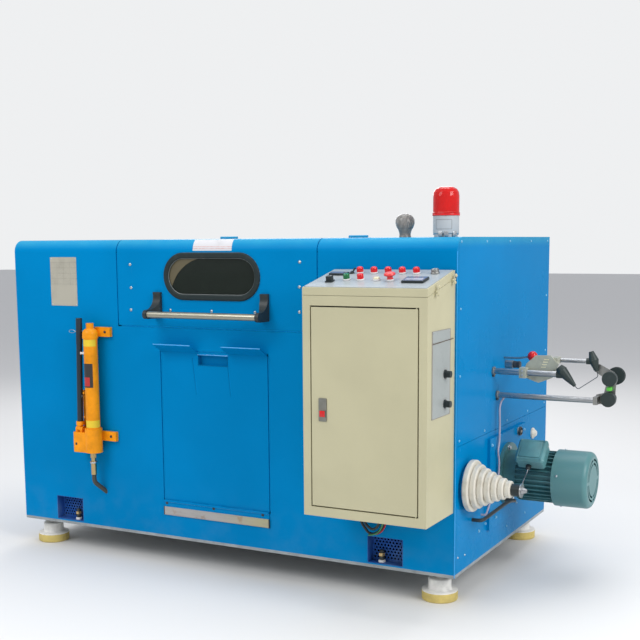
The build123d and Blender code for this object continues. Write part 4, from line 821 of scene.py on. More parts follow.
class MachineSizes(bpy.types.PropertyGroup):
    screw_radius: length_setting(
        "Screw head radius", "Radius of the housing's screw heads", 0.0065, 0.002, 0.02
    )
    screw_height: length_setting(
        "Screw head height", "How far the housing's screw heads stand out", 0.0035, 0.001, 0.01
    )
    lamp_radius: length_setting(
        "Lamp radius", "Radius of the collars of the lamps and buttons", 0.014, 0.008, 0.03
    )
    hem_radius: length_setting(
        "Hem radius", "Radius of the folded hems on the door's lips", 0.002, 0.0005, 0.005
    )


made_materials = {}


def finishes():
    """All finishes of the machine, made once."""
    if made_materials:
        return made_materials
    colours = bpy.context.scene.machine_colours
    blue = tuple(colours.housing)
    cream = tuple(colours.cabinet)
    pump = tuple(colours.pump)
    motor = tuple(colours.motor)
    highlight_blue = faded(blue, 0.12)
    plate_low, plate_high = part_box("data_plate")
    sill_low, sill_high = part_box("sill_strip")
    made_materials.update(
        {
            # haze here weights the painted pale reflection along the housing's top bend
            "blue": gloss_paint("housing_enamel", blue, haze=0.45),
            # Paler blue for hems and edge beads: painted highlight along lit edges
            "hem": gloss_paint("highlight_hem_enamel", (0.03, highlight_blue[1] * 1.15, 0.72), 0.2, 0.0, sheen=0.5),
            "tray_blue": gloss_paint("tray_enamel", (0.02, 0.08, 0.3), 0.45, 0.3),
            "edge": cast_paint("base_edge_paint", (0.3, 0.33, 0.34), 0.3),
            "cream": powder_coat("cabinet_coat", cream),
            "film": moulded("panel_film", (0.34, 0.375, 0.39), 0.34, 0.04),
            "side_film": moulded("side_plate_film", (0.33, 0.36, 0.35), 0.38, 0.04),
            "pump": cast_paint("pump_paint", pump, 0.18, 0.36, 0.2),
            "pump_yellow": moulded("pump_band", (0.78, 0.55, 0.02), 0.4, 0.02),
            "label": moulded("dark_label", (0.03, 0.026, 0.024), 0.3, 0.02),
            "motor": cast_paint("motor_paint", motor, 0.35),
            # A lighter copy of the motor paint for the terminal box: painted light on its upward-facing lid
            "terminal": cast_paint(
                "terminal_box_lit_paint", (motor[0] * 1.8, motor[1] * 1.4, motor[2] * 1.36), 0.12, 0.34
            ),
            "cover": gloss_paint(
                "fan_cover_paint", (motor[0] * 1.7, motor[1] * 1.28, motor[2] * 1.22), 0.34, 0.1, sheen=0.4
            ),
            "steel": worked_metal("bright_steel", (0.4, 0.41, 0.42), 0.3, (0.04, 1, 1), 0.2, 0.02),
            "bar": worked_metal("handle_bar_steel", (0.36, 0.35, 0.28), 0.34, (0.04, 1, 1), 0.12, 0.02),
            "worn_steel": worked_metal("bare_steel", (0.33, 0.33, 0.31), 0.42, (1, 1, 1), 0.4),
            "painted_screw": moulded("painted_screws", (0.16, 0.42, 0.62), 0.3, 0.02),
            # Paler blue for the lit side of the pocket's creases: painted highlight
            "crease_highlight": gloss_paint("crease_highlight_enamel", tone(blue, 1.25), 0.24, 0.0),
            # Darker blue for the pocket's lower edge and the shaded side of its creases: painted shade
            "fold": gloss_paint("fold_enamel", tone(blue, 0.72), 0.3, 0.0),
            # Brighter blue than the housing for the strips behind the seams: painted light in their shade
            "lit_gap": gloss_paint("lit_gap_enamel", (0.01, 0.5, 1.0), 0.5, 0.0),
            "latch": worked_metal("latch_metal", (0.26, 0.26, 0.23), 0.42, (1, 1, 0.1), 0.3),
            "hose": moulded("hose_cover", (0.05, 0.048, 0.035), 0.5, 0.25),
            "shell": clear_plastic("cap_shell", (0.75, 0.76, 0.76), 0.12, 0.9, 1.2),
            "silver": worked_metal("knob_silver", (0.6, 0.61, 0.62), 0.3, (1, 1, 1), 0.1),
            "zinc": worked_metal("zinc_screws", (0.5, 0.53, 0.55), 0.3, (1, 1, 1), 0.2),
            "dark_screw": cast_paint("dark_screws", (0.035, 0.04, 0.045), 0.2, 0.4),
            "brass": worked_metal("fitting_brass", (0.55, 0.4, 0.19), 0.36, (1, 1, 1), 0.4),
            "cast": cast_paint("bracket_casting", (0.4, 0.41, 0.33), 0.3),
            "black": moulded("black_moulding", (0.022, 0.03, 0.032), 0.36, 0.12, 0.3),
            "lever": gloss_paint("lever_paint", (0.012, 0.024, 0.036), 0.34, 0.0, sheen=0.4),
            "rubber": moulded("black_rubber", (0.024, 0.03, 0.032), 0.5, 0.2),
            "gasket": moulded("gasket_rubber", (0.02, 0.03, 0.031), 0.46, 0.12, 0.15),
            # Paler rubber for the window gasket's lips: painted highlight on its rounded edges
            "gasket_lip_highlight": moulded("gasket_lip_highlight", (0.13, 0.15, 0.15), 0.28, 0.05),
            "nylon": moulded("guide_nylon", (0.026, 0.038, 0.036), 0.4, 0.12, 0.3),
            "wheel_grey": moulded("rear_wheel_grey", (0.2, 0.21, 0.22), 0.4),
            "red": lens_plastic("red_cap", (0.68, 0.012, 0.014)),
            "salmon": lens_plastic("stop_button_red", (0.75, 0.05, 0.05), 0.3),
            "green": lens_plastic("green_cap", (0.01, 0.16, 0.05)),
            "cream_cap": lens_plastic("cream_cap", (0.72, 0.68, 0.45), 0.25),
            "collar": moulded("white_collar", (0.66, 0.66, 0.66), 0.3, 0.02),
            "tab_green": moulded("green_tab", (0.12, 0.62, 0.06), 0.4),
            "foot_yellow": cast_paint("foot_rubber", (0.62, 0.49, 0.16), 0.2, 0.6, 0.3),
            "foot_white": cast_paint("foot_casting", (0.78, 0.77, 0.73), 0.25),
            "beacon_grey": moulded("beacon_grey", (0.42, 0.45, 0.47), 0.35, 0.03),
            "dome": beacon_lens(
                "beacon_dome_plastic",
                (0.72, 0.012, 0.01),
                (0.28, 0.003, 0.004),
                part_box("beacon_dome")[0].z,
            ),
            "cap": clear_plastic("cap_plastic", (0.3, 0.27, 0.24), 0.28, 0.35),
            "glass": clear_plastic("window_pane", (0.05, 0.07, 0.055), 0.03, 0.75, 1.3),
            "screen": lens_plastic("meter_screen", (0.42, 0.43, 0.5), 0.16),
            "bezel": moulded("meter_bezel", (0.1, 0.13, 0.22), 0.3, 0.03),
            "tan": moulded("window_liner", (0.1, 0.083, 0.042), 0.6, 0.2),
            "cable_grey": moulded("cable_grey", (0.36, 0.34, 0.43), 0.45),
            "sticker": lined_label("white_sticker", (0.6, 0.6, 0.62), (0.55, 0.3, 0.28), (1213, 1220)),
            # Pale yellow-white for the backing in the guide plate's slots: painted light where they lie in
            # shade
            "slot_painted_light": moulded("slot_painted_light", (0.95, 0.86, 0.58), 0.42, 0.02),
            "wire_red": moulded("red_wire", (0.45, 0.02, 0.02), 0.4, 0.05),
            "wire_green": moulded("green_wire", (0.04, 0.2, 0.08), 0.4, 0.05),
            "brown": moulded("brown_seam", (0.1, 0.07, 0.045), 0.5, 0.05),
            "frame_line": moulded("frame_line", (0.3, 0.22, 0.19), 0.5, 0.02),
            "ruled": ruled_plate(
                "data_plate_table", (0.41, 0.39, 0.32), (0.16, 0.15, 0.13),
                plate_low, plate_high, 4, 9,
            ),
            "sill": bare_strip(
                "sill_steel", (0.4, 0.385, 0.37), (0.42, 0.39, 0.24), sill_low.x, sill_high.x
            ),
            "ivory": turned_nylon(
                "cone_nylon", tuple(colours.cone), (0.36, 0.31, 0.22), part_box("cone_pulley")[0].x
            ),
        }
    )
    return made_materials


# Pieces


class MACHINE_OT_paint(bpy.types.Operator):
    """Give every CAD node of the machine its finish"""

    bl_idname = "machine.paint"
    bl_label = "Paint the machine"

    def execute(self, context):
        look = finishes()
        by_finish = {
            "blue": (
                "front_walls", "doorway_rails", "top_end_covers", "top_rear_cover", "left_end_wall",
                "right_upper_panel", "right_lower_panel", "back_wall", "hood", "loading_door",
                "motor_mount_plate", "door_hinge",
            ),
            "tray_blue": ("vent_trays", "vent_screens"),
            "edge": ("base_plate",),
            "cream": ("cabinet_body", "cabinet_door", "cabinet_lid"),
            "film": ("operator_panel",),
            "side_film": ("side_plate",),
            "pump": ("pump_body", "lever_socket"),
            "motor": ("motor_body",),
            "terminal": ("terminal_box",),
            "cover": ("fan_cover",),
            "steel": ("guide_rods", "cone_shaft", "spindle_nose"),
            "bar": ("handle_bar",),
            "sill": ("sill_strip",),
            "worn_steel": ("pulley_bracket",),
            "latch": ("cabinet_latch",),
            "hose": ("pump_hose",),
            "brass": ("hose_fitting",),
            "cast": ("rod_bracket",),
            "ivory": ("cone_pulley", "wall_plugs"),
            "black": ("handle_brackets", "side_knobs", "push_buttons", "panel_meters", "shaft_collar"),
            "lever": ("pump_lever", "guide_wire"),
            "gasket": ("window_gasket",),
            "rubber": ("motor_cable", "cabinet_cable"),
            "nylon": ("wire_guides", "upper_pulley", "lower_pulley"),
            "red": ("red_knob", "signal_lamps"),
            "foot_yellow": ("foot_pads",),
            "foot_white": ("foot_caps",),
            "beacon_grey": ("beacon_base",),
            "dome": ("beacon_dome",),
            "cap": ("filler_cap",),
            "glass": ("window_glass",),
            "cable_grey": ("sensor_cable",),
            "ruled": ("data_plate",),
        }
        painted = set()
        for finish, nodes in by_finish.items():
            for node in nodes:
                coat(node, look[finish])
                painted.add(node)
        left = sorted(set(NODES) - painted)
        if left:
            raise RuntimeError(f"no finish for {left}")
        return {"FINISHED"}


class MACHINE_OT_screws(bpy.types.Operator):
    """Set the screw heads of the housing, hood, sill and side plate"""

    bl_idname = "machine.screws"
    bl_label = "Set the screws"

    def execute(self, context):
        look = finishes()
        sizes = context.scene.machine_sizes
        head = sizes.screw_radius * 1000
        proud = sizes.screw_height * 1000
        hood = [(-1443, 1148), (-1441, 1052), (-1445, 960), (-638, 1160), (-640, 1065), (-641, 969)]
        hood += [(-1244, 963), (-1043, 963), (-840, 963)]
        places = [(spot(x, 0, z), TO_FRONT) for x, z in hood]
        heads("hood_screws", "pan", places, head, proud, look["zinc"], "hood")
        right = [(311, 507), (584, 507), (861, 507)]
        right += [(39, 1233), (311, 1233), (587, 1233), (868, 1233), (1110, 1233)]
        right += [(36, 993), (36, 749), (36, 511), (1110, 993), (1110, 749), (1110, 511)]
        right += [(1110, 72), (600, 60), (850, 60)]
        left = [(y, z) for y in (36, 311, 587, 868, 1110) for z in (60, 1225)]
        left += [(y, z) for y in (36, 1110) for z in (350, 640, 930)]
        back = [(x, z) for x in (-2040, -1650, -1260, -860, -450, -34) for z in (40, 1225)]
        back += [(x, z) for x in (-2040, -34) for z in (340, 630, 920)]
        back_face = (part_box("back_wall")[1].y - FRONT) * 1000
        left_face = (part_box("left_end_wall")[0].x - RIGHT) * 1000
        pale = [(spot(0, y, z), TO_RIGHT) for y, z in ((33, 72), (105, 65))]
        heads("corner_screws", "pan", pale, head * 0.7, proud, look["zinc"], "housing")
        places = [(spot(0, y, z), TO_RIGHT) for y, z in right]
        places += [(spot(left_face + 1.8, y, z), TO_LEFT) for y, z in left]
        places += [(spot(x, back_face - 1.8, z), TO_BACK) for x, z in back]
        heads(
            "housing_screws", "pan", places, head * 0.75, proud, look["painted_screw"], "housing",
        )
        places = [(spot(x, -3, 152), TO_FRONT) for x in (-1285, -1051, -817)]
        heads("sill_screws", "pan", places, 6.5, 3, look["dark_screw"], "housing")
        side = right_of("side_plate")
        places = [(spot(side, y, z), TO_RIGHT) for y in (-210, -56) for z in (632, 922)]
        heads("side_plate_screws", "rivet", places, 3, 1.6, look["zinc"], "housing")
        low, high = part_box("data_plate")
        places = []
        for x in (low.x + 0.006, high.x - 0.006):
            for z in (low.z + 0.006, high.z - 0.006):
                places.append((Vector((x, low.y, z)), TO_FRONT))
        heads("data_plate_rivets", "rivet", places, 3, 1.5, look["zinc"], "housing")
        return {"FINISHED"}


class MACHINE_OT_window(bpy.types.Operator):
    """Dress the hood's window: gasket lips in paler rubber as painted highlights, the liner seen behind the
    glass, the bare sticker
    """

    bl_idname = "machine.window"
    bl_label = "Dress the window"

    def execute(self, context):
        look = finishes()
        centre_x, centre_z = -1043, 1101
        # Gasket lips in a paler rubber than the gasket: painted highlight on its rounded edges
        outer = bmesh.new()
        bead(outer, oval(centre_x, centre_z, 454, 188, -1.0), 2.0, TO_FRONT, closed=True)
        piece("gasket_outer_lip", outer, look["gasket_lip_highlight"], "hood")
        inner = bmesh.new()
        bead(inner, oval(centre_x, centre_z, 412, 146, -0.6), 2.2, TO_FRONT, closed=True)
        piece("gasket_inner_lip", inner, look["gasket_lip_highlight"], "hood")
        liner = bmesh.new()
        outline = []
        for angle in range(214, 88, -9):
            turn = math.radians(angle)
            outline.append((-1176 + 71 * math.cos(turn), centre_z + 71 * math.sin(turn)))
        outline += [(-1140, 1172), (-1108, 1172)]
        inside = [(-1140, 1161), (-1166, 1147), (-1190, 1128), (-1206, 1112), (-1219, 1093), (-1228, 1077)]
        outline += inside
        face = tilted(spot(0, 4.0, 0), (1, 0, 0), (0, 0, 1))
        slab(liner, outline, face, 0.8)
        piece("window_liner", liner, look["tan"], "hood")
        sticker = bmesh.new()
        rings = []
        for step in range(13):
            angle = math.radians(4 + 68 * step / 12)
            ring = []
            for x, reach in ((-1128, 50.4), (-944, 50.4), (-944, 49.8), (-1128, 49.8)):
                y = BEND_RADIUS - reach * math.cos(angle)
                z = BEND_HEIGHT + reach * math.sin(angle)
                ring.append(sticker.verts.new(spot(x - 0.24 * y, y, z)))
            rings.append(ring)
        tube_of(sticker, rings)
        piece("hood_sticker", sticker, look["sticker"], "hood")
        return {"FINISHED"}


class MACHINE_OT_handle(bpy.types.Operator):
    """Cap the left end of the hood's handle bar"""

    bl_idname = "machine.handle"
    bl_label = "Finish the handle"

    def execute(self, context):
        look = finishes()
        low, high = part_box("handle_bar")
        caps = bmesh.new()
        place = Vector((low.x + 0.006, (low.y + high.y) / 2, (low.z + high.z) / 2))
        profile = [(0, 11), (10, 11), (14.6, 8), (14.6, 0), (13.4, 0)]
        lathe(caps, profile, place, TO_LEFT, 28, 2)
        piece("handle_end_caps", caps, look["black"], "hood")
        return {"FINISHED"}


class MACHINE_OT_door(bpy.types.Operator):
    """Add the hems of the door's lips and pocket in paler blue as painted highlights, darker and paler beads
    at the pocket's creases as painted shade and highlight, the hinge's bright edge and the corner seam as
    painted highlights, brighter strips behind the seams as painted light, and dark blocks at the sill strip's
    ends as painted shade
    """

    bl_idname = "machine.door"
    bl_label = "Hem the loading door"

    def execute(self, context):
        look = finishes()
        hem = context.scene.machine_sizes.hem_radius * 1000
        # Lip hems in paler blue: painted highlight along the lips' lit edges
        lips = bmesh.new()
        for low, high in ((-1297, -1115.5), (-968.5, -787)):
            bead(lips, [spot(low, -55, 826), spot(high, -55, 826)], hem, TO_FRONT)
        piece("door_lip_hems", lips, look["hem"], "loading_door")
        # Pocket hem in paler blue: painted highlight on the pocket's upper edge
        pocket = bmesh.new()
        bead(pocket, [spot(-1116, -1, 785.5), spot(-968, -1, 785.5)], hem, TO_FRONT)
        piece("pocket_hem", pocket, look["hem"], "loading_door")
        # Darker blue beads: painted shade under the pocket and on the shaded side of its creases
        shade = bmesh.new()
        bead(shade, [spot(-1116, -0.6, 743), spot(-968, -0.6, 743)], 1.6, TO_FRONT)
        for top, foot in ((-1142, -1126), (-975, -961)):
            bead(shade, [spot(top, 0.2, 772), spot(foot, 1.0, 620)], 1.5, TO_FRONT)
        piece("pocket_shade_folds", shade, look["fold"], "loading_door")
        # Paler blue beads: painted highlight on the lit side of the creases
        creases = bmesh.new()
        for top, foot in ((-1137, -1121), (-970, -956)):
            bead(creases, [spot(top, 0.2, 768), spot(foot, 1.0, 630)], 1.3, TO_FRONT)
        piece("pocket_creases", creases, look["crease_highlight"], "loading_door")
        # Backing strips in a brighter blue than the housing: painted light that lifts the shade in the seams
        strips = bmesh.new()
        for left, foot, right, top in (
            (-1309, 170, -1291, 800),
            (-793, 170, -775, 800),
            (-1309, 789, -775, 806),
            (-1520, 884, -555, 902),
            (-1519, 884, -1501, 1196),
            (-574, 884, -556, 1196),
        ):
            brick(strips, (left, 6, foot), (right, 8, top), 0)
        for left, right in ((-1519, -1501), (-574, -556)):
            bent_strip(strips, left, right, 44, 42, 560)
        piece("gap_backing_strips", strips, look["lit_gap"], "housing")
        # Dark blocks at the sill strip's ends: painted shade
        ends = bmesh.new()
        for left in (-1299.5, -788.5):
            brick(ends, (left, -7, 101), (left + 3.5, -2, 137), 0.4)
        piece("sill_strip_ends", ends, look["dark_screw"], "housing")
        # Paler blue bead: painted highlight along the hinge leaf's edge
        leaf = bmesh.new()
        bead(leaf, [spot(-1296, -3.4, 157), spot(-788, -3.4, 157)], 1.6, TO_FRONT)
        piece("hinge_leaf_edge", leaf, look["hem"], "housing")
        # Paler blue bead: painted highlight along the right front corner
        corner = bmesh.new()
        bead(corner, [spot(-0.4, 0.4, 2), spot(-0.4, 0.4, 1200)], 1.5, TO_FRONT)
        piece("corner_seam", corner, look["hem"], "housing")
        return {"FINISHED"}


class MACHINE_OT_lamps(bpy.types.Operator):
    """Set the five red lamps on their collars in the operator panel"""

    bl_idname = "machine.lamps"
    bl_label = "Set the lamps"

    def execute(self, context):
        look = finishes()
        ring = context.scene.machine_sizes.lamp_radius * 1000
        collars = bmesh.new()
        lenses = bmesh.new()
        for x in (136, 192, 248, 303, 358):
            place = on_panel(x, 200)
            profile = [(0, 0), (ring, 0), (ring, 4), (ring * 0.86, 6), (0, 6)]
            lathe(collars, profile, place, PANEL_OUT, 32, 1)
            cap = ring * 0.89
            dome = [(0, 5.5), (cap, 5.5), (cap, 17)]
            for step in range(1, 6):
                angle = math.radians(15 * step)
                dome.append((cap * math.cos(angle), 17 + 8 * math.sin(angle)))
            dome.append((0, 25))
            lathe(lenses, dome, place, PANEL_OUT, 32)
        piece("lamp_collars", collars, look["collar"], "cabinet_lid")
        made = piece("lamp_lenses", lenses, look["red"], "cabinet_lid")
        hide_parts("signal_lamps")
        return {"FINISHED"}


class MACHINE_OT_buttons(bpy.types.Operator):
    """Set the push buttons, stop button, key switch, toggle and square knob in the panel"""

    bl_idname = "machine.buttons"
    bl_label = "Set the buttons"

    def execute(self, context):
        look = finishes()
        ring = context.scene.machine_sizes.lamp_radius * 1000
        collars = bmesh.new()
        profile = [(0, 0), (ring, 0), (ring, 4), (ring * 0.9, 6), (ring * 0.84, 6), (ring * 0.82, 4), (0, 4)]
        for x in (129, 184, 247, 299):
            lathe(collars, profile, on_panel(x, 100), PANEL_OUT, 32, 0.8)
        made = piece("button_collars", collars, look["collar"], "cabinet_lid")
        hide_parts("push_buttons")
        for name, x, finish, slot, height in (
            ("green_button", 129, "green", "black_plastic", 24),
            ("red_button", 184, "red", "red_plastic", 24),
            ("cream_button", 247, "cream_cap", "black_plastic", 12),
        ):
            cap = bmesh.new()
            profile = [(0, 4), (11.6, 4), (12, height - 4), (9.5, height), (0, height - 0.8)]
            lathe(cap, profile, on_panel(x, 100), PANEL_OUT, 32, 1.2)
            piece(name, cap, look[finish], "cabinet_lid")
        stop = bmesh.new()
        profile = [(0, 4), (11, 4), (10, 12), (11, 17), (20, 19), (21, 22), (19, 27), (11, 30), (0, 31)]
        lathe(stop, profile, on_panel(299, 100), PANEL_OUT, 40, 1.5)
        piece("stop_button", stop, look["salmon"], "cabinet_lid")
        key = bmesh.new()
        profile = [(0, 0), (16, 0), (16, 4), (14, 6), (13.5, 15), (11.5, 16), (11, 14.5), (0, 14.5)]
        lathe(key, profile, on_panel(427, 204), PANEL_OUT, 36, 0.8)
        piece("key_switch", key, look["worn_steel"], "cabinet_lid")
        key_slot = bmesh.new()
        brick(key_slot, (-1.4, -7, 14.2), (1.4, 7, 14.9), 0.2, panel_axes(427, 204))
        piece("key_slot", key_slot, look["dark_screw"], "cabinet_lid")
        toggle = bmesh.new()
        foot = on_panel(105, 195)
        lean = PANEL.to_3x3() @ Vector((0.45, 0.35, 0.82))
        lathe(toggle, [(0, 0), (9, 0), (9, 3), (6, 5), (6, 8), (0, 8)], foot, PANEL_OUT, 24, 0.6)
        lathe(toggle, [(0, 5), (2.4, 5), (3.4, 20), (2.6, 23), (0, 24)], foot, lean, 20, 1)
        piece("toggle_switch", toggle, look["black"], "cabinet_lid")
        knob = bmesh.new()
        turn = panel_axes(74, 75)
        brick(knob, (-14, -14, 0), (14, 14, 5), 1.5, turn)
        brick(knob, (-11, -10, 4), (11, 10, 22), 2.2, turn)
        piece("square_knob", knob, look["black"], "cabinet_lid")
        mark = bmesh.new()
        brick(mark, (2, -0.8, 21.6), (9, 0.8, 22.3), 0.2, turn)
        piece("square_knob_mark", mark, look["collar"], "cabinet_lid")
        return {"FINISHED"}


class MACHINE_OT_meters(bpy.types.Operator):
    """Build the two panel meters with their bezels and screens"""

    bl_idname = "machine.meters"
    bl_label = "Build the meters"

    def execute(self, context):
        look = finishes()
        cases = bmesh.new()
        wide = panel_axes(396, 95)
        narrow = panel_axes(62, 175)
        brick(cases, (-41, -30, 0), (41, 30, 9), 1.6, wide)
        brick(cases, (-36, -14, 0), (36, 14, 8), 1.6, narrow)
        made = piece("meter_cases", cases, look["black"], "cabinet_lid")
        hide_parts("panel_meters")
        bezel = bmesh.new()
        brick(bezel, (-38, -27, 8.4), (38, 27, 10), 0.7, wide)
        piece("meter_bezel", bezel, look["bezel"], "cabinet_lid")
        screens = bmesh.new()
        brick(screens, (-32, -17, 9.6), (32, 7, 10.5), 0.3, wide)
        piece("meter_screen", screens, look["screen"], "cabinet_lid")
        dark = bmesh.new()
        brick(dark, (-31, -9, 7.6), (20, 9, 8.4), 0.3, narrow)
        piece("counter_screen", dark, look["bezel"], "cabinet_lid")
        keys = bmesh.new()
        for x in (-26, -10, 6, 22):
            brick(keys, (x - 4, 13, 9.8), (x + 4, 20, 11), 0.6, wide)
        for y in (-5, 5):
            brick(keys, (25, y - 3, 7.6), (31, y + 3, 9), 0.6, narrow)
        piece("meter_keys", keys, look["wheel_grey"], "cabinet_lid")
        return {"FINISHED"}


class MACHINE_OT_cabinet(bpy.types.Operator):
    """Trim the cabinet: latch square, side plate lines, hinge rivets, knob discs and dial ticks"""

    bl_idname = "machine.cabinet"
    bl_label = "Trim the cabinet"

    def execute(self, context):
        look = finishes()
        square = bmesh.new()
        face = front_of("cabinet_latch")
        brick(square, (-417.5, face - 1.2, 616), (-396.5, face + 0.4, 638), 0.5)
        piece("latch_red_square", square, look["red"], "cabinet_door")
        side = right_of("side_plate")
        seam = bmesh.new()
        path = [spot(side + 0.4, -215, 885), spot(side + 0.4, -20, 892)]
        bead(seam, path, 1.6, TO_RIGHT)
        piece("side_plate_seam", seam, look["brown"], "housing")
        lines = bmesh.new()
        corners = [spot(side + 0.1, y, z) for y, z in ((-217, 625), (-49, 625), (-49, 929), (-217, 929))]
        bead(lines, corners, 0.9, TO_RIGHT, closed=True, sides=6)
        piece("side_plate_frame", lines, look["frame_line"], "housing")
        lid_side = right_of("cabinet_body")
        for name, body, drop, shift in (
            ("body_hinge_rivets", "housing", -12, -5),
            ("lid_hinge_rivets", "cabinet_lid", 12, 5),
        ):
            knuckles = []
            for depth in (71, 226):
                height = 1052 + depth * 0.2248 + drop
                knuckles.append((spot(lid_side + 1.5, -258 + depth + shift, height), TO_RIGHT))
            heads(name, "rivet", knuckles, 7, 6, look["cream"], body)
        discs = bmesh.new()
        ticks = []
        profile = [(0, 0), (9.4, 0), (9.4, 1.2), (8.6, 1.8), (0, 1.8)]
        for z in (772, 666):
            lathe(discs, profile, spot(side + 20, -98, z), TO_RIGHT, 28, 0.4)
            for step in range(11):
                angle = math.radians(-150 + 30 * step)
                y = -98 + 22 * math.sin(angle)
                ticks.append((spot(side, y, z + 22 * math.cos(angle)), TO_RIGHT))
        piece("knob_discs", discs, look["silver"], "housing")
        heads(
            "dial_ticks", "tick", ticks, 1.3, 0.4, look["frame_line"], "housing", 0.0
        )
        return {"FINISHED"}


class MACHINE_OT_cabinet_wires(bpy.types.Operator):
    """Lay the thin wires along the loop under the cabinet"""

    bl_idname = "machine.cabinet_wires"
    bl_label = "Lay the cabinet wires"

    def execute(self, context):
        look = finishes()
        bundle = [(-362, 249), (-360, 196), (-330, 158), (-300, 160), (-282, 190), (-280, 249)]
        pipe(
            "inner_cable", [spot(x, -37, z) for x, z in bundle], 5.2, look["rubber"], "housing"
        )
        for name, shift, finish in (("red_wire", 6.5, "wire_red"), ("green_wire", -6.5, "wire_green")):
            route = [(-329, 138), (-306, 142), (-288, 152), (-272, 176), (-266, 205), (-266, 249)]
            points = [spot(x + shift * 0.5, -30 + shift, z - abs(shift) * 0.4) for x, z in route]
            pipe(name, points, 3.4, look[finish], "housing")
        return {"FINISHED"}


class MACHINE_OT_pump(bpy.types.Operator):
    """Dress the hand pump: bands, bare label, bolts, bleed screw, hose ring and lever pin"""

    bl_idname = "machine.pump"
    bl_label = "Dress the pump"

    def execute(self, context):
        look = finishes()
        tube = (-1630, -45)
        bands = bmesh.new()
        wrap(bands, tube, 29.4, -62, 84, 805, 834, 0.6)
        wrap(bands, tube, 29.4, -40, 104, 457, 488, 0.6)
        piece("pump_bands", bands, look["pump_yellow"], "housing")
        label = bmesh.new()
        wrap(label, tube, 29.4, -36, 50, 630, 732, 0.7)
        piece("pump_label", label, look["label"], "housing")
        field = bmesh.new()
        wrap(field, tube, 30.0, -34, 24, 636, 674, 0.3)
        piece("pump_label_field", field, look["wire_red"], "housing")
        bolts = [
            (spot(-1575, -16, 864), TO_FRONT),
            (spot(-1560, -16, 416), TO_FRONT),
            (spot(-1701, -74, 384), TO_FRONT),
            (spot(-1674, -59, 590), TO_FRONT),
        ]
        heads("pump_bolts", "socket", bolts, 5.4, 2.5, look["dark_screw"], "housing")
        rivets = [(spot(-1665, -59, z), TO_FRONT) for z in (500, 604)]
        heads("pump_flange_rivets", "rivet", rivets, 4.5, 2, look["pump"], "housing")
        bleed = bmesh.new()
        way = Vector((-0.72, -0.69, 0))
        start = spot(tube[0], tube[1], 776) + way * 0.028
        profile = [(0, 0), (6.5, 0), (6.5, 5), (4, 6), (4, 10), (5.5, 11), (5.5, 16), (0, 17)]
        lathe(bleed, profile, start, way, 20, 0.6)
        piece("pump_bleed_screw", bleed, look["collar"], "housing")
        ring = bmesh.new()
        lathe(ring, [(11, 0), (15.2, 0), (15.2, 8), (11, 8)], spot(-1635, -45, 299), TO_TOP, 32, 1.5)
        piece("hose_ring", ring, look["zinc"], "housing")
        pin = bmesh.new()
        loop = []
        for step in range(20):
            angle = 2 * math.pi * step / 20
            loop.append(spot(-1723 + 16 * math.cos(angle), -50, 865 + 6.5 * math.sin(angle)))
        bead(pin, loop, 1.3, TO_FRONT, closed=True, sides=6)
        bead(pin, [spot(-1708, -50, 865), spot(-1662, -50, 869)], 1.5, TO_FRONT, sides=8)
        piece("lever_pin", pin, look["zinc"], "pump_lever")
        return {"FINISHED"}


class MACHINE_OT_beacon(bpy.types.Operator):
    """Finish the beacon: foot clips, empty frame on the base and the lens rim"""

    bl_idname = "machine.beacon"
    bl_label = "Finish the beacon"

    def execute(self, context):
        look = finishes()
        centre = (-91, 120)
        clips = []
        for degrees in (-70, 100, 190, 250):
            angle = math.radians(degrees)
            x = centre[0] + 43 * math.sin(angle)
            y = centre[1] - 43 * math.cos(angle)
            clips.append((spot(x, y, 1262), (math.sin(angle), -math.cos(angle), 0.25)))
        heads("beacon_screws", "pan", clips, 5, 4, look["zinc"], "housing")
        frame_lines = bmesh.new()
        for low, high in ((1278, 1279.6), (1312, 1313.6)):
            wrap(frame_lines, centre, 47.3, -26, 46, low, high, 0.6)
        for first, last in ((-28, -26), (46, 48)):
            wrap(frame_lines, centre, 47.3, first, last, 1278, 1313.6, 0.6, steps=2)
        piece("beacon_frame", frame_lines, look["wheel_grey"], "housing")
        tabs = bmesh.new()
        for degrees in (-4, 22, 62):
            angle = math.radians(degrees)
            out = Vector((math.sin(angle), -math.cos(angle), 0))
            across = Vector((math.cos(angle), math.sin(angle), 0))
            turn = tilted(spot(centre[0], centre[1], 1250) + out * 0.0455, across, (0, 0, 1))
            brick(tabs, (-8, 2, 0), (8, 20, 4.5), 1, turn)
        piece("beacon_clips", tabs, look["zinc"], "housing")
        shell = bmesh.new()
        profile = [(13, 8), (20, 22), (31, 36), (36, 52), (35, 66), (27, 79), (12, 86), (0, 87.5)]
        lathe(shell, profile, spot(-254, 120, 1250), TO_TOP, 40, 3)
        piece("filler_cap_shell", shell, look["shell"], "housing")
        rim = bmesh.new()
        profile = [(44, 0), (49.9, 0), (50.4, 1.5), (50.4, 6), (49.4, 7.5), (46, 7.5)]
        lathe(rim, profile, spot(centre[0], centre[1], 1327), TO_TOP, 48, 0.6)
        piece("beacon_rim", rim, look["red"], "housing")
        return {"FINISHED"}


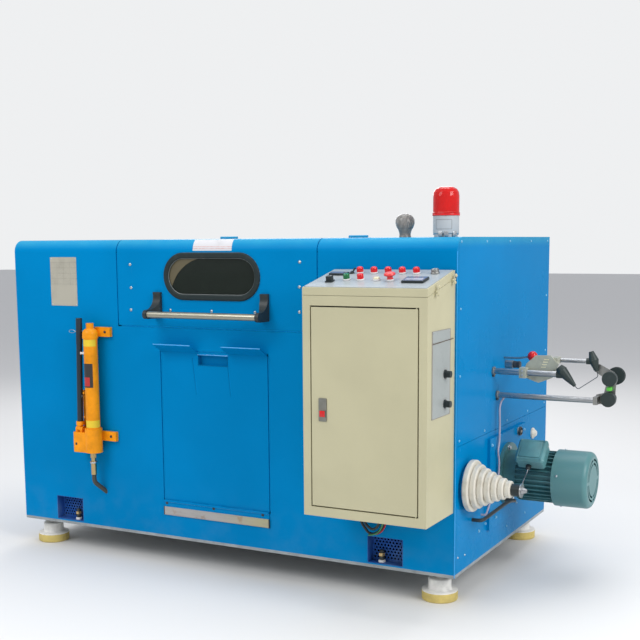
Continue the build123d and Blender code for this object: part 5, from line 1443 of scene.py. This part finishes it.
class MACHINE_OT_motor(bpy.types.Operator):
    """Bolt the motor's flange, cover and terminal box, and set its gland and thin rod"""

    bl_idname = "machine.motor"
    bl_label = "Bolt the motor"

    def execute(self, context):
        look = finishes()
        flange = [(round_motor(degrees, 111, 26)[0], TO_RIGHT) for degrees in (102, 192, 282, 12)]
        heads("flange_bolts", "hex", flange, 11, 9, look["zinc"], "housing")
        plate = [(425, 139), (687, 141), (370, 440), (780, 440)]
        places = [(spot(12, y, z), TO_RIGHT) for y, z in plate]
        places += [(spot(0, y, z), TO_RIGHT) for y, z in ((334, 132), (259, 120))]
        heads("mount_bolts", "hex", places, 6.5, 5, look["painted_screw"], "housing")
        cover = [round_motor(degrees, 112.6, 247) for degrees in (165.5, 255.5, 345.5, 75.5)]
        heads("cover_screws", "pan", cover, 5, 3.5, look["zinc"], "housing")
        out = on_terminal(0, 0, 1) - on_terminal(0, 0, 0)
        lid = [(on_terminal(x, up, 184), out) for x in (-47, 47) for up in (-42, 42)]
        heads("terminal_screws", "pan", lid, 4.5, 2.5, look["terminal"], "housing")
        # Raised lid face in the lighter terminal box paint: painted light
        raised = bmesh.new()
        brick(raised, (-42, -37, 183), (42, 37, 187), 3, TERMINAL)
        piece("terminal_lid_face", raised, look["terminal"], "housing")
        down = (on_terminal(0, -1, 0) - on_terminal(0, 0, 0)).normalized()
        gland = bmesh.new()
        start = on_terminal(-6, -49, 143)
        lathe(gland, [(0, 0), (12, 0), (12, 9), (0, 9)], start, down, 6, 0.8)
        lathe(gland, [(0, 9), (10, 9), (9, 18), (5, 21), (0, 21)], start, down, 24, 0.8)
        piece("terminal_gland", gland, look["black"], "housing")
        tail = start + down * 0.019
        bends = [(128, 440, 318), (114, 442, 284), (112, 450, 273), (112, 462, 270)]
        rod_route = [tail, tail + down * 0.02] + [spot(*bend) for bend in bends]
        pipe("motor_thin_rod", rod_route, 2.4, look["steel"], "housing")
        return {"FINISHED"}


class MACHINE_OT_guides(bpy.types.Operator):
    """Finish the guide rods: wall collars, a pale backing in the slots as painted light, clamp screws, nose
    cap, tab and plug ring
    """

    bl_idname = "machine.guides"
    bl_label = "Finish the guide rods"

    def execute(self, context):
        look = finishes()
        collars = bmesh.new()
        for y, z, radius in ((400, 730, 12), (450, 630, 11)):
            profile = [(radius - 1, 0), (radius + 5, 0), (radius + 5, 9), (radius + 0.2, 9)]
            lathe(collars, profile, spot(0, y, z), TO_RIGHT, 32, 1)
        piece("rod_wall_collars", collars, look["worn_steel"], "housing")
        nubs = bmesh.new()
        for y, z in ((396, 713), (446, 614)):
            lathe(nubs, [(0, 0), (5.5, 0), (5.5, 8), (4, 10), (0, 10)], spot(0, y, z), TO_RIGHT, 20, 0.8)
        piece("rod_wall_nubs", nubs, look["dark_screw"], "housing")
        # Pale sheet behind the slots: painted light that keeps them bright in the plate's shadow
        slots = bmesh.new()
        brick(slots, (184, 421.6, 748), (220, 429.4, 786), 0.3)
        piece("hexagon_backing", slots, look["slot_painted_light"], "housing")
        front_face = front_of("rod_bracket")
        places = [(spot(125, front_face, z), TO_FRONT) for z in (722, 738)]
        heads("clamp_screws", "socket", places, 4, 3, look["zinc"], "housing")
        nose = bmesh.new()
        low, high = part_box("spindle_nose")
        start = Vector((RIGHT + 0.032, (low.y + high.y) / 2, (low.z + high.z) / 2))
        profile = [
            (13, 0), (14.4, 0), (14.4, 10), (13.6, 11), (13.6, 18),
            (14.4, 19), (14.4, 26), (12, 29), (0, 29),
        ]
        lathe(nose, profile, start, TO_RIGHT, 28, 0.6)
        piece("spindle_nose_cap", nose, look["dark_screw"], "housing")
        tab = bmesh.new()
        brick(tab, (429.4, 463.4, 667.6), (446.6, 486.6, 681.6), 1.0)
        piece("green_tab", tab, look["tab_green"], "housing")
        plug = bmesh.new()
        profile = [(6, 0), (19, 0), (19, 6), (16, 9), (6, 9)]
        lathe(plug, profile, spot(17, 705, 445), TO_RIGHT, 32, 1.4)
        piece("plug_ring", plug, look["dark_screw"], "housing")
        clip = bmesh.new()
        brick(clip, (0, 428, 433), (11, 447, 450), 2)
        piece("sensor_cable_clip", clip, look["collar"], "housing")
        return {"FINISHED"}


class MACHINE_OT_vents(bpy.types.Operator):
    """Stand the small fittings on the vent trays' floors"""

    bl_idname = "machine.vents"
    bl_label = "Stand the vent fittings"

    def execute(self, context):
        look = finishes()
        parts = (
            ("fitting_bases", "collar", "plate_metal", [(0, 0), (14, 0), (14, 8), (10, 10), (0, 10)], 28),
            ("fitting_bodies", "black", "black_plastic", [(0, 10), (10, 10), (10, 25), (0, 25)], 28),
            ("fitting_nuts", "brass", "fitting_brass", [(0, 25), (13, 25), (13, 37), (0, 37)], 6),
            ("fitting_tops", "black", "black_plastic", [(0, 37), (9, 37), (10, 44), (7, 49), (0, 50)], 28),
        )
        for name, finish, slot, profile, sides in parts:
            data = bmesh.new()
            for x in (-1783, -302):
                lathe(data, profile, spot(x, 20, 20), TO_TOP, sides, 1)
            piece(name, data, look[finish], "housing")
        return {"FINISHED"}


class MACHINE_OT_feet(bpy.types.Operator):
    """Build the cups of the machine feet, with their top discs and the pads' rims"""

    bl_idname = "machine.feet"
    bl_label = "Finish the feet"

    def execute(self, context):
        look = finishes()
        low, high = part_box("foot_pads")
        cups = bmesh.new()
        discs = bmesh.new()
        rims = bmesh.new()
        pad = high.z * 1000
        cup = [
            (0, pad - 1), (66.5, pad - 1), (67.8, pad + 1), (67.6, pad + 4), (64, pad + 6), (48, pad + 7),
            (45, pad + 10), (44, pad + 16), (44, 80), (40, 84), (18, 84), (14, 87), (14, 110), (0, 110),
        ]
        profile = [(60, 0), (68.2, 1), (68.8, 3), (68.2, 5), (60, 6)]
        for x in (low.x + FOOT_RADIUS, high.x - FOOT_RADIUS):
            for y in (low.y + FOOT_RADIUS, high.y - FOOT_RADIUS):
                lathe(cups, cup, (x, y, 0), TO_TOP, 48)
                lathe(discs, [(14, 0), (27, 0), (27, 8), (14, 8)], (x, y, 0.098), TO_TOP, 36, 1)
                for height in (0.006, 0.016, 0.026):
                    lathe(rims, profile, (x, y, height), TO_TOP, 48, 0.8)
        made = piece("foot_cups", cups, look["foot_white"], "housing")
        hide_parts("foot_caps")
        piece("foot_discs", discs, look["foot_white"], "housing")
        piece("foot_rims", rims, look["foot_yellow"], "housing")
        return {"FINISHED"}


class MACHINE_OT_stage(bpy.types.Operator):
    """Lay the pale floor and place the lamps and the camera"""

    bl_idname = "machine.stage"
    bl_label = "Set the stage"

    def execute(self, context):
        finish = Finish("stage_floor")
        finish.set(Base_Color=(0.74, 0.74, 0.73), Roughness=0.75)
        mesh = bpy.data.meshes.new("floor")
        mesh.from_pydata([(-40, -40, 0), (40, -40, 0), (40, 40, 0), (-40, 40, 0)], [], [(0, 1, 2, 3)])
        mesh.materials.append(finish.material)
        floor = bpy.data.objects.new("floor", mesh)
        context.scene.collection.objects.link(floor)

        world = bpy.data.worlds.new("studio")
        context.scene.world = world
        world.use_nodes = True
        nodes = world.node_tree.nodes
        links = world.node_tree.links
        ground = nodes["Background"]
        ground.inputs["Color"].default_value = (0.92, 0.94, 1.0, 1)
        ground.inputs["Strength"].default_value = 0.62
        seen = nodes.new("ShaderNodeBackground")
        seen.inputs["Color"].default_value = (0.86, 0.87, 0.88, 1)
        seen.inputs["Strength"].default_value = 1.0
        path = nodes.new("ShaderNodeLightPath")
        either = nodes.new("ShaderNodeMath")
        either.operation = "MAXIMUM"
        links.new(path.outputs["Is Camera Ray"], either.inputs[0])
        links.new(path.outputs["Is Transmission Ray"], either.inputs[1])
        mix = nodes.new("ShaderNodeMixShader")
        links.new(either.outputs[0], mix.inputs[0])
        links.new(ground.outputs[0], mix.inputs[1])
        links.new(seen.outputs[0], mix.inputs[2])
        links.new(mix.outputs[0], nodes["World Output"].inputs[0])

        lamps = (
            ("key", (-2.2, -4.6, 4.6), (0.0, -0.2, 0.6), 3.2, 150.0),
            ("right", (4.6, -1.6, 3.4), (0.8, 0.0, 0.6), 2.6, 150.0),
            ("over", (0.0, 0.6, 5.2), (0.0, 0.1, 0.0), 4.0, 130.0),
            ("back", (-2.5, 4.6, 3.2), (0.0, 0.2, 0.6), 3.0, 70.0),
        )
        for name, place, aim, size, power in lamps:
            light = bpy.data.lights.new(name, "AREA")
            light.shape = "SQUARE"
            light.size = size
            light.energy = power
            lamp = bpy.data.objects.new(name, light)
            context.scene.collection.objects.link(lamp)
            lamp.location = place
            lamp.rotation_euler = (Vector(aim) - Vector(place)).to_track_quat("-Z", "Y").to_euler()

        camera = bpy.data.cameras.new("camera")
        camera.sensor_width = 36.0
        camera.lens = 61.70
        camera.shift_y = 75.0 / 640.0
        camera.clip_end = 200.0
        holder = bpy.data.objects.new("camera", camera)
        context.scene.collection.objects.link(holder)
        yaw = math.radians(-27.885)
        pitch = math.radians(-7.952)
        roll = math.radians(-0.414)
        look_along = Vector(
            (math.sin(yaw) * math.cos(pitch), math.cos(yaw) * math.cos(pitch), math.sin(pitch))
        )
        turn = look_along.to_track_quat("-Z", "Y").to_matrix().to_4x4()
        holder.matrix_world = (
            Matrix.Translation(Vector((2.1949, -4.1301, 1.3458)))
            @ turn
            @ Matrix.Rotation(roll, 4, "Z")
        )
        context.scene.camera = holder
        context.scene.view_settings.view_transform = "Standard"
        return {"FINISHED"}


class MACHINE_PT_panel(bpy.types.Panel):
    """Panel with the machine's colours, sizes and steps"""

    bl_label = "Machine"
    bl_idname = "MACHINE_PT_panel"
    bl_space_type = "VIEW_3D"
    bl_region_type = "UI"
    bl_category = "Machine"

    def draw(self, context):
        layout = self.layout
        for group in (context.scene.machine_colours, context.scene.machine_sizes):
            for key in group.__annotations__:
                layout.prop(group, key)
        for step in STEPS:
            layout.operator(step.bl_idname)


STEPS = (
    MACHINE_OT_paint,
    MACHINE_OT_screws,
    MACHINE_OT_window,
    MACHINE_OT_handle,
    MACHINE_OT_door,
    MACHINE_OT_lamps,
    MACHINE_OT_buttons,
    MACHINE_OT_meters,
    MACHINE_OT_cabinet,
    MACHINE_OT_cabinet_wires,
    MACHINE_OT_pump,
    MACHINE_OT_beacon,
    MACHINE_OT_motor,
    MACHINE_OT_guides,
    MACHINE_OT_vents,
    MACHINE_OT_feet,
    MACHINE_OT_stage,
)
CLASSES = (MachineColours, MachineSizes, *STEPS, MACHINE_PT_panel)


def register():
    for kind in CLASSES:
        bpy.utils.register_class(kind)
    bpy.types.Scene.machine_colours = bpy.props.PointerProperty(type=MachineColours)
    bpy.types.Scene.machine_sizes = bpy.props.PointerProperty(type=MachineSizes)


def unregister():
    del bpy.types.Scene.machine_sizes
    del bpy.types.Scene.machine_colours
    for kind in reversed(CLASSES):
        bpy.utils.unregister_class(kind)


def main():
    register()
    for step in STEPS:
        group, name = step.bl_idname.split(".")
        getattr(getattr(bpy.ops, group), name)()


if __name__ == "__main__":
    main()
